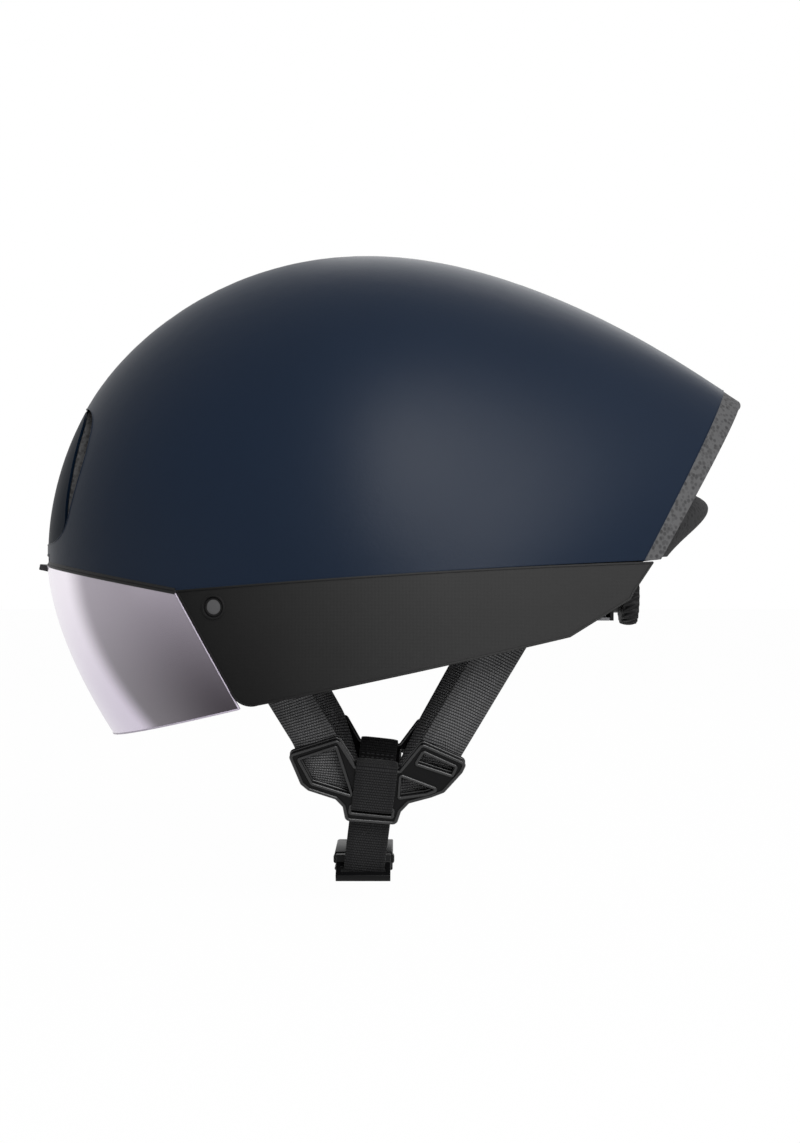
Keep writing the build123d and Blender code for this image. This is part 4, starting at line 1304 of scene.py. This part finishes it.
@dataclass
class ComfortPads:
    """The knit-covered pads in the crown and on the cradle, swollen by a cloth simulation."""

    nodes: tuple[str, ...] = (
        "brow_pad", "crown_pad", "side_pad_left", "side_pad_right", "nape_pad_left", "nape_pad_right",
    )
    voxel: float = 0.002
    even_share: float = 0.5
    even_rounds: int = 4
    slack: float = 0.0014
    pressure: float = 4.0
    quality: int = 6
    mass: float = 0.15
    cap: float = 0.0022
    last_frame: int = 20

    def cut(self, node: str, knit: bpy.types.Material) -> bpy.types.Object:
        """Copy a pad's solid, even out its mesh and draw it in a little.

        Args:
            node: The pad's solid.
            knit: Its finish.

        Returns:
            The slack pad.
        """
        piece = copied(node, f"{node}_knit", knit)
        remesh = piece.modifiers.new("remesh", "REMESH")
        remesh.mode, remesh.voxel_size = "VOXEL", self.voxel
        applied(piece)
        smooth = piece.modifiers.new("smooth", "SMOOTH")
        smooth.factor, smooth.iterations = self.even_share, self.even_rounds
        draw = piece.modifiers.new("draw_in", "DISPLACE")
        draw.strength, draw.mid_level = -self.slack, 0.0
        return applied(piece)

    def swell(self, pads: Sequence[bpy.types.Object]) -> None:
        """Blow the pads up together, and hold every point near where it started.

        Args:
            pads: The slack pads.
        """
        for piece in pads:
            cloth = piece.modifiers.new("swell", "CLOTH")
            cloth.settings.quality = self.quality
            cloth.settings.mass = self.mass
            cloth.settings.use_pressure = True
            cloth.settings.uniform_pressure_force = self.pressure
            cloth.settings.effector_weights.gravity = 0.0
            cloth.point_cache.frame_start, cloth.point_cache.frame_end = 1, self.last_frame
        for number in range(1, self.last_frame + 1):
            bpy.context.scene.frame_set(number)
        for piece in pads:
            count = len(piece.data.vertices)
            before, after = np.empty(count * 3), np.empty(count * 3)
            piece.data.vertices.foreach_get("co", before)
            seen = piece.evaluated_get(bpy.context.evaluated_depsgraph_get())
            seen.data.vertices.foreach_get("co", after)
            moved = (after - before).reshape(-1, 3)
            far = np.linalg.norm(moved, axis=1)
            LOG.info("%s swells %.2f mm on average", piece.name, far.mean() / MM)
            held = moved * (np.minimum(far, self.cap) / np.maximum(far, TINY))[:, None]
            piece.modifiers.clear()
            piece.data.vertices.foreach_set("co", (before.reshape(-1, 3) + held).ravel())
            piece.data.update()
        bpy.context.scene.frame_set(1)

    def build(self, finishes: Wardrobe) -> None:
        """Cut, swell, smooth and place the pads.

        Args:
            finishes: The helmet's finishes.
        """
        pads = [self.cut(node, finishes.knit) for node in self.nodes]
        self.swell(pads)
        for node, piece in zip(self.nodes, pads):
            smooth = piece.modifiers.new("smooth", "SUBSURF")
            smooth.levels = smooth.render_levels = 1
            applied(piece)
            all_smooth(piece.data)
            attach(piece, BODY_OF[node])
            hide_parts(node)
            LOG.info("%s: %d faces", piece.name, len(piece.data.polygons))


# Studio


@dataclass(frozen=True)
class Lamp:
    """A soft square lamp that points at the helmet."""

    name: str
    place: Vector
    size: float
    power: float
    aim: Vector = Vector((0.02, 0.0, 0.02))

    def hang(self) -> None:
        """Put the lamp into the scene."""
        data = bpy.data.lights.new(self.name, "AREA")
        data.energy, data.size, data.shape = self.power, self.size, "SQUARE"
        made = bpy.data.objects.new(self.name, data)
        made.location = self.place
        made.rotation_mode = "QUATERNION"
        made.rotation_quaternion = (self.aim - self.place).to_track_quat("-Z", "Y")
        bpy.context.scene.collection.objects.link(made)


@dataclass
class Studio:
    """The camera, the pale floor and the soft light."""

    eye: Vector = Vector((0.02667, -0.8, 0.0))
    lens: float = 56.69
    sensor: float = 36.0
    floor_z: float = -0.142
    floor_half: float = 6.0
    floor_white: float = 0.985
    floor_grey: float = 0.8
    room_light: float = 0.24
    lamps: tuple[Lamp, ...] = (
        Lamp("key_lamp", Vector((0.50, -1.0, 0.64)), 0.72, 17.0),
        Lamp("front_lamp", Vector((-0.9, -0.7, -0.1)), 0.8, 0.8),
        Lamp("back_lamp", Vector((0.3, 0.9, 0.9)), 0.9, 4.0),
    )

    def camera(self) -> None:
        """Stand the camera level beside the helmet."""
        data = bpy.data.cameras.new("camera")
        data.lens, data.sensor_width, data.sensor_fit = self.lens, self.sensor, "AUTO"
        made = bpy.data.objects.new("camera", data)
        made.location = self.eye
        made.rotation_euler = (math.pi / 2, 0.0, 0.0)
        bpy.context.scene.collection.objects.link(made)
        bpy.context.scene.camera = made

    def floor(self) -> None:
        """Lay a pale floor that looks white and keeps a faint shadow."""
        half = self.floor_half
        corners = [(-half, -half), (half, -half), (half, half), (-half, half)]
        grey = (self.floor_grey, self.floor_grey, self.floor_grey, 1.0)
        r = Recipe("pale_floor", {"Base Color": grey, "Roughness": 0.8, "Specular IOR Level": 0.1})
        white = r.node("ShaderNodeEmission", sockets={"Color": (1.0, 1.0, 1.0, 1.0), "Strength": 1.0})
        blend = r.node(
            "ShaderNodeMixShader",
            sockets={0: r.looked_at() * self.floor_white, 1: r.shader.outputs[0], 2: white.outputs[0]},
        )
        r.tree.links.new(blend.outputs[0], r.output.inputs["Surface"])
        floor = solid_piece("floor", [(x, y, self.floor_z) for x, y in corners], [(0, 1, 2, 3)], r.material)

    def world(self) -> None:
        """Light the room evenly, and show white to the camera and in reflections."""
        bpy.context.scene.world = bpy.data.worlds.new("studio")
        bpy.context.scene.world.use_nodes = True
        room = Nodes(bpy.context.scene.world.node_tree)
        strength = room.looked_at() * (1.0 - self.room_light) + self.room_light
        sky = room.node("ShaderNodeBackground", sockets={"Color": (1.0, 1.0, 1.0, 1.0), "Strength": strength})
        room.node("ShaderNodeOutputWorld", sockets={"Surface": sky.outputs[0]})

    def build(self) -> None:
        """Set up the whole studio."""
        self.camera()
        self.floor()
        self.world()
        for lamp in self.lamps:
            lamp.hang()
        bpy.context.scene.view_settings.view_transform = "Standard"


def main() -> None:
    """Build the studio and every sub-assembly in order."""
    logging.basicConfig(level=logging.INFO, format="%(name)s: %(message)s")
    Studio().build()
    finishes = Wardrobe()
    for part in (Shell(), EarPanels(), Visor(), Retention(), Fastening(), Webbing(), ComfortPads()):
        part.build(finishes)
        LOG.info("built %s", type(part).__name__)


if __name__ == "__main__":
    main()
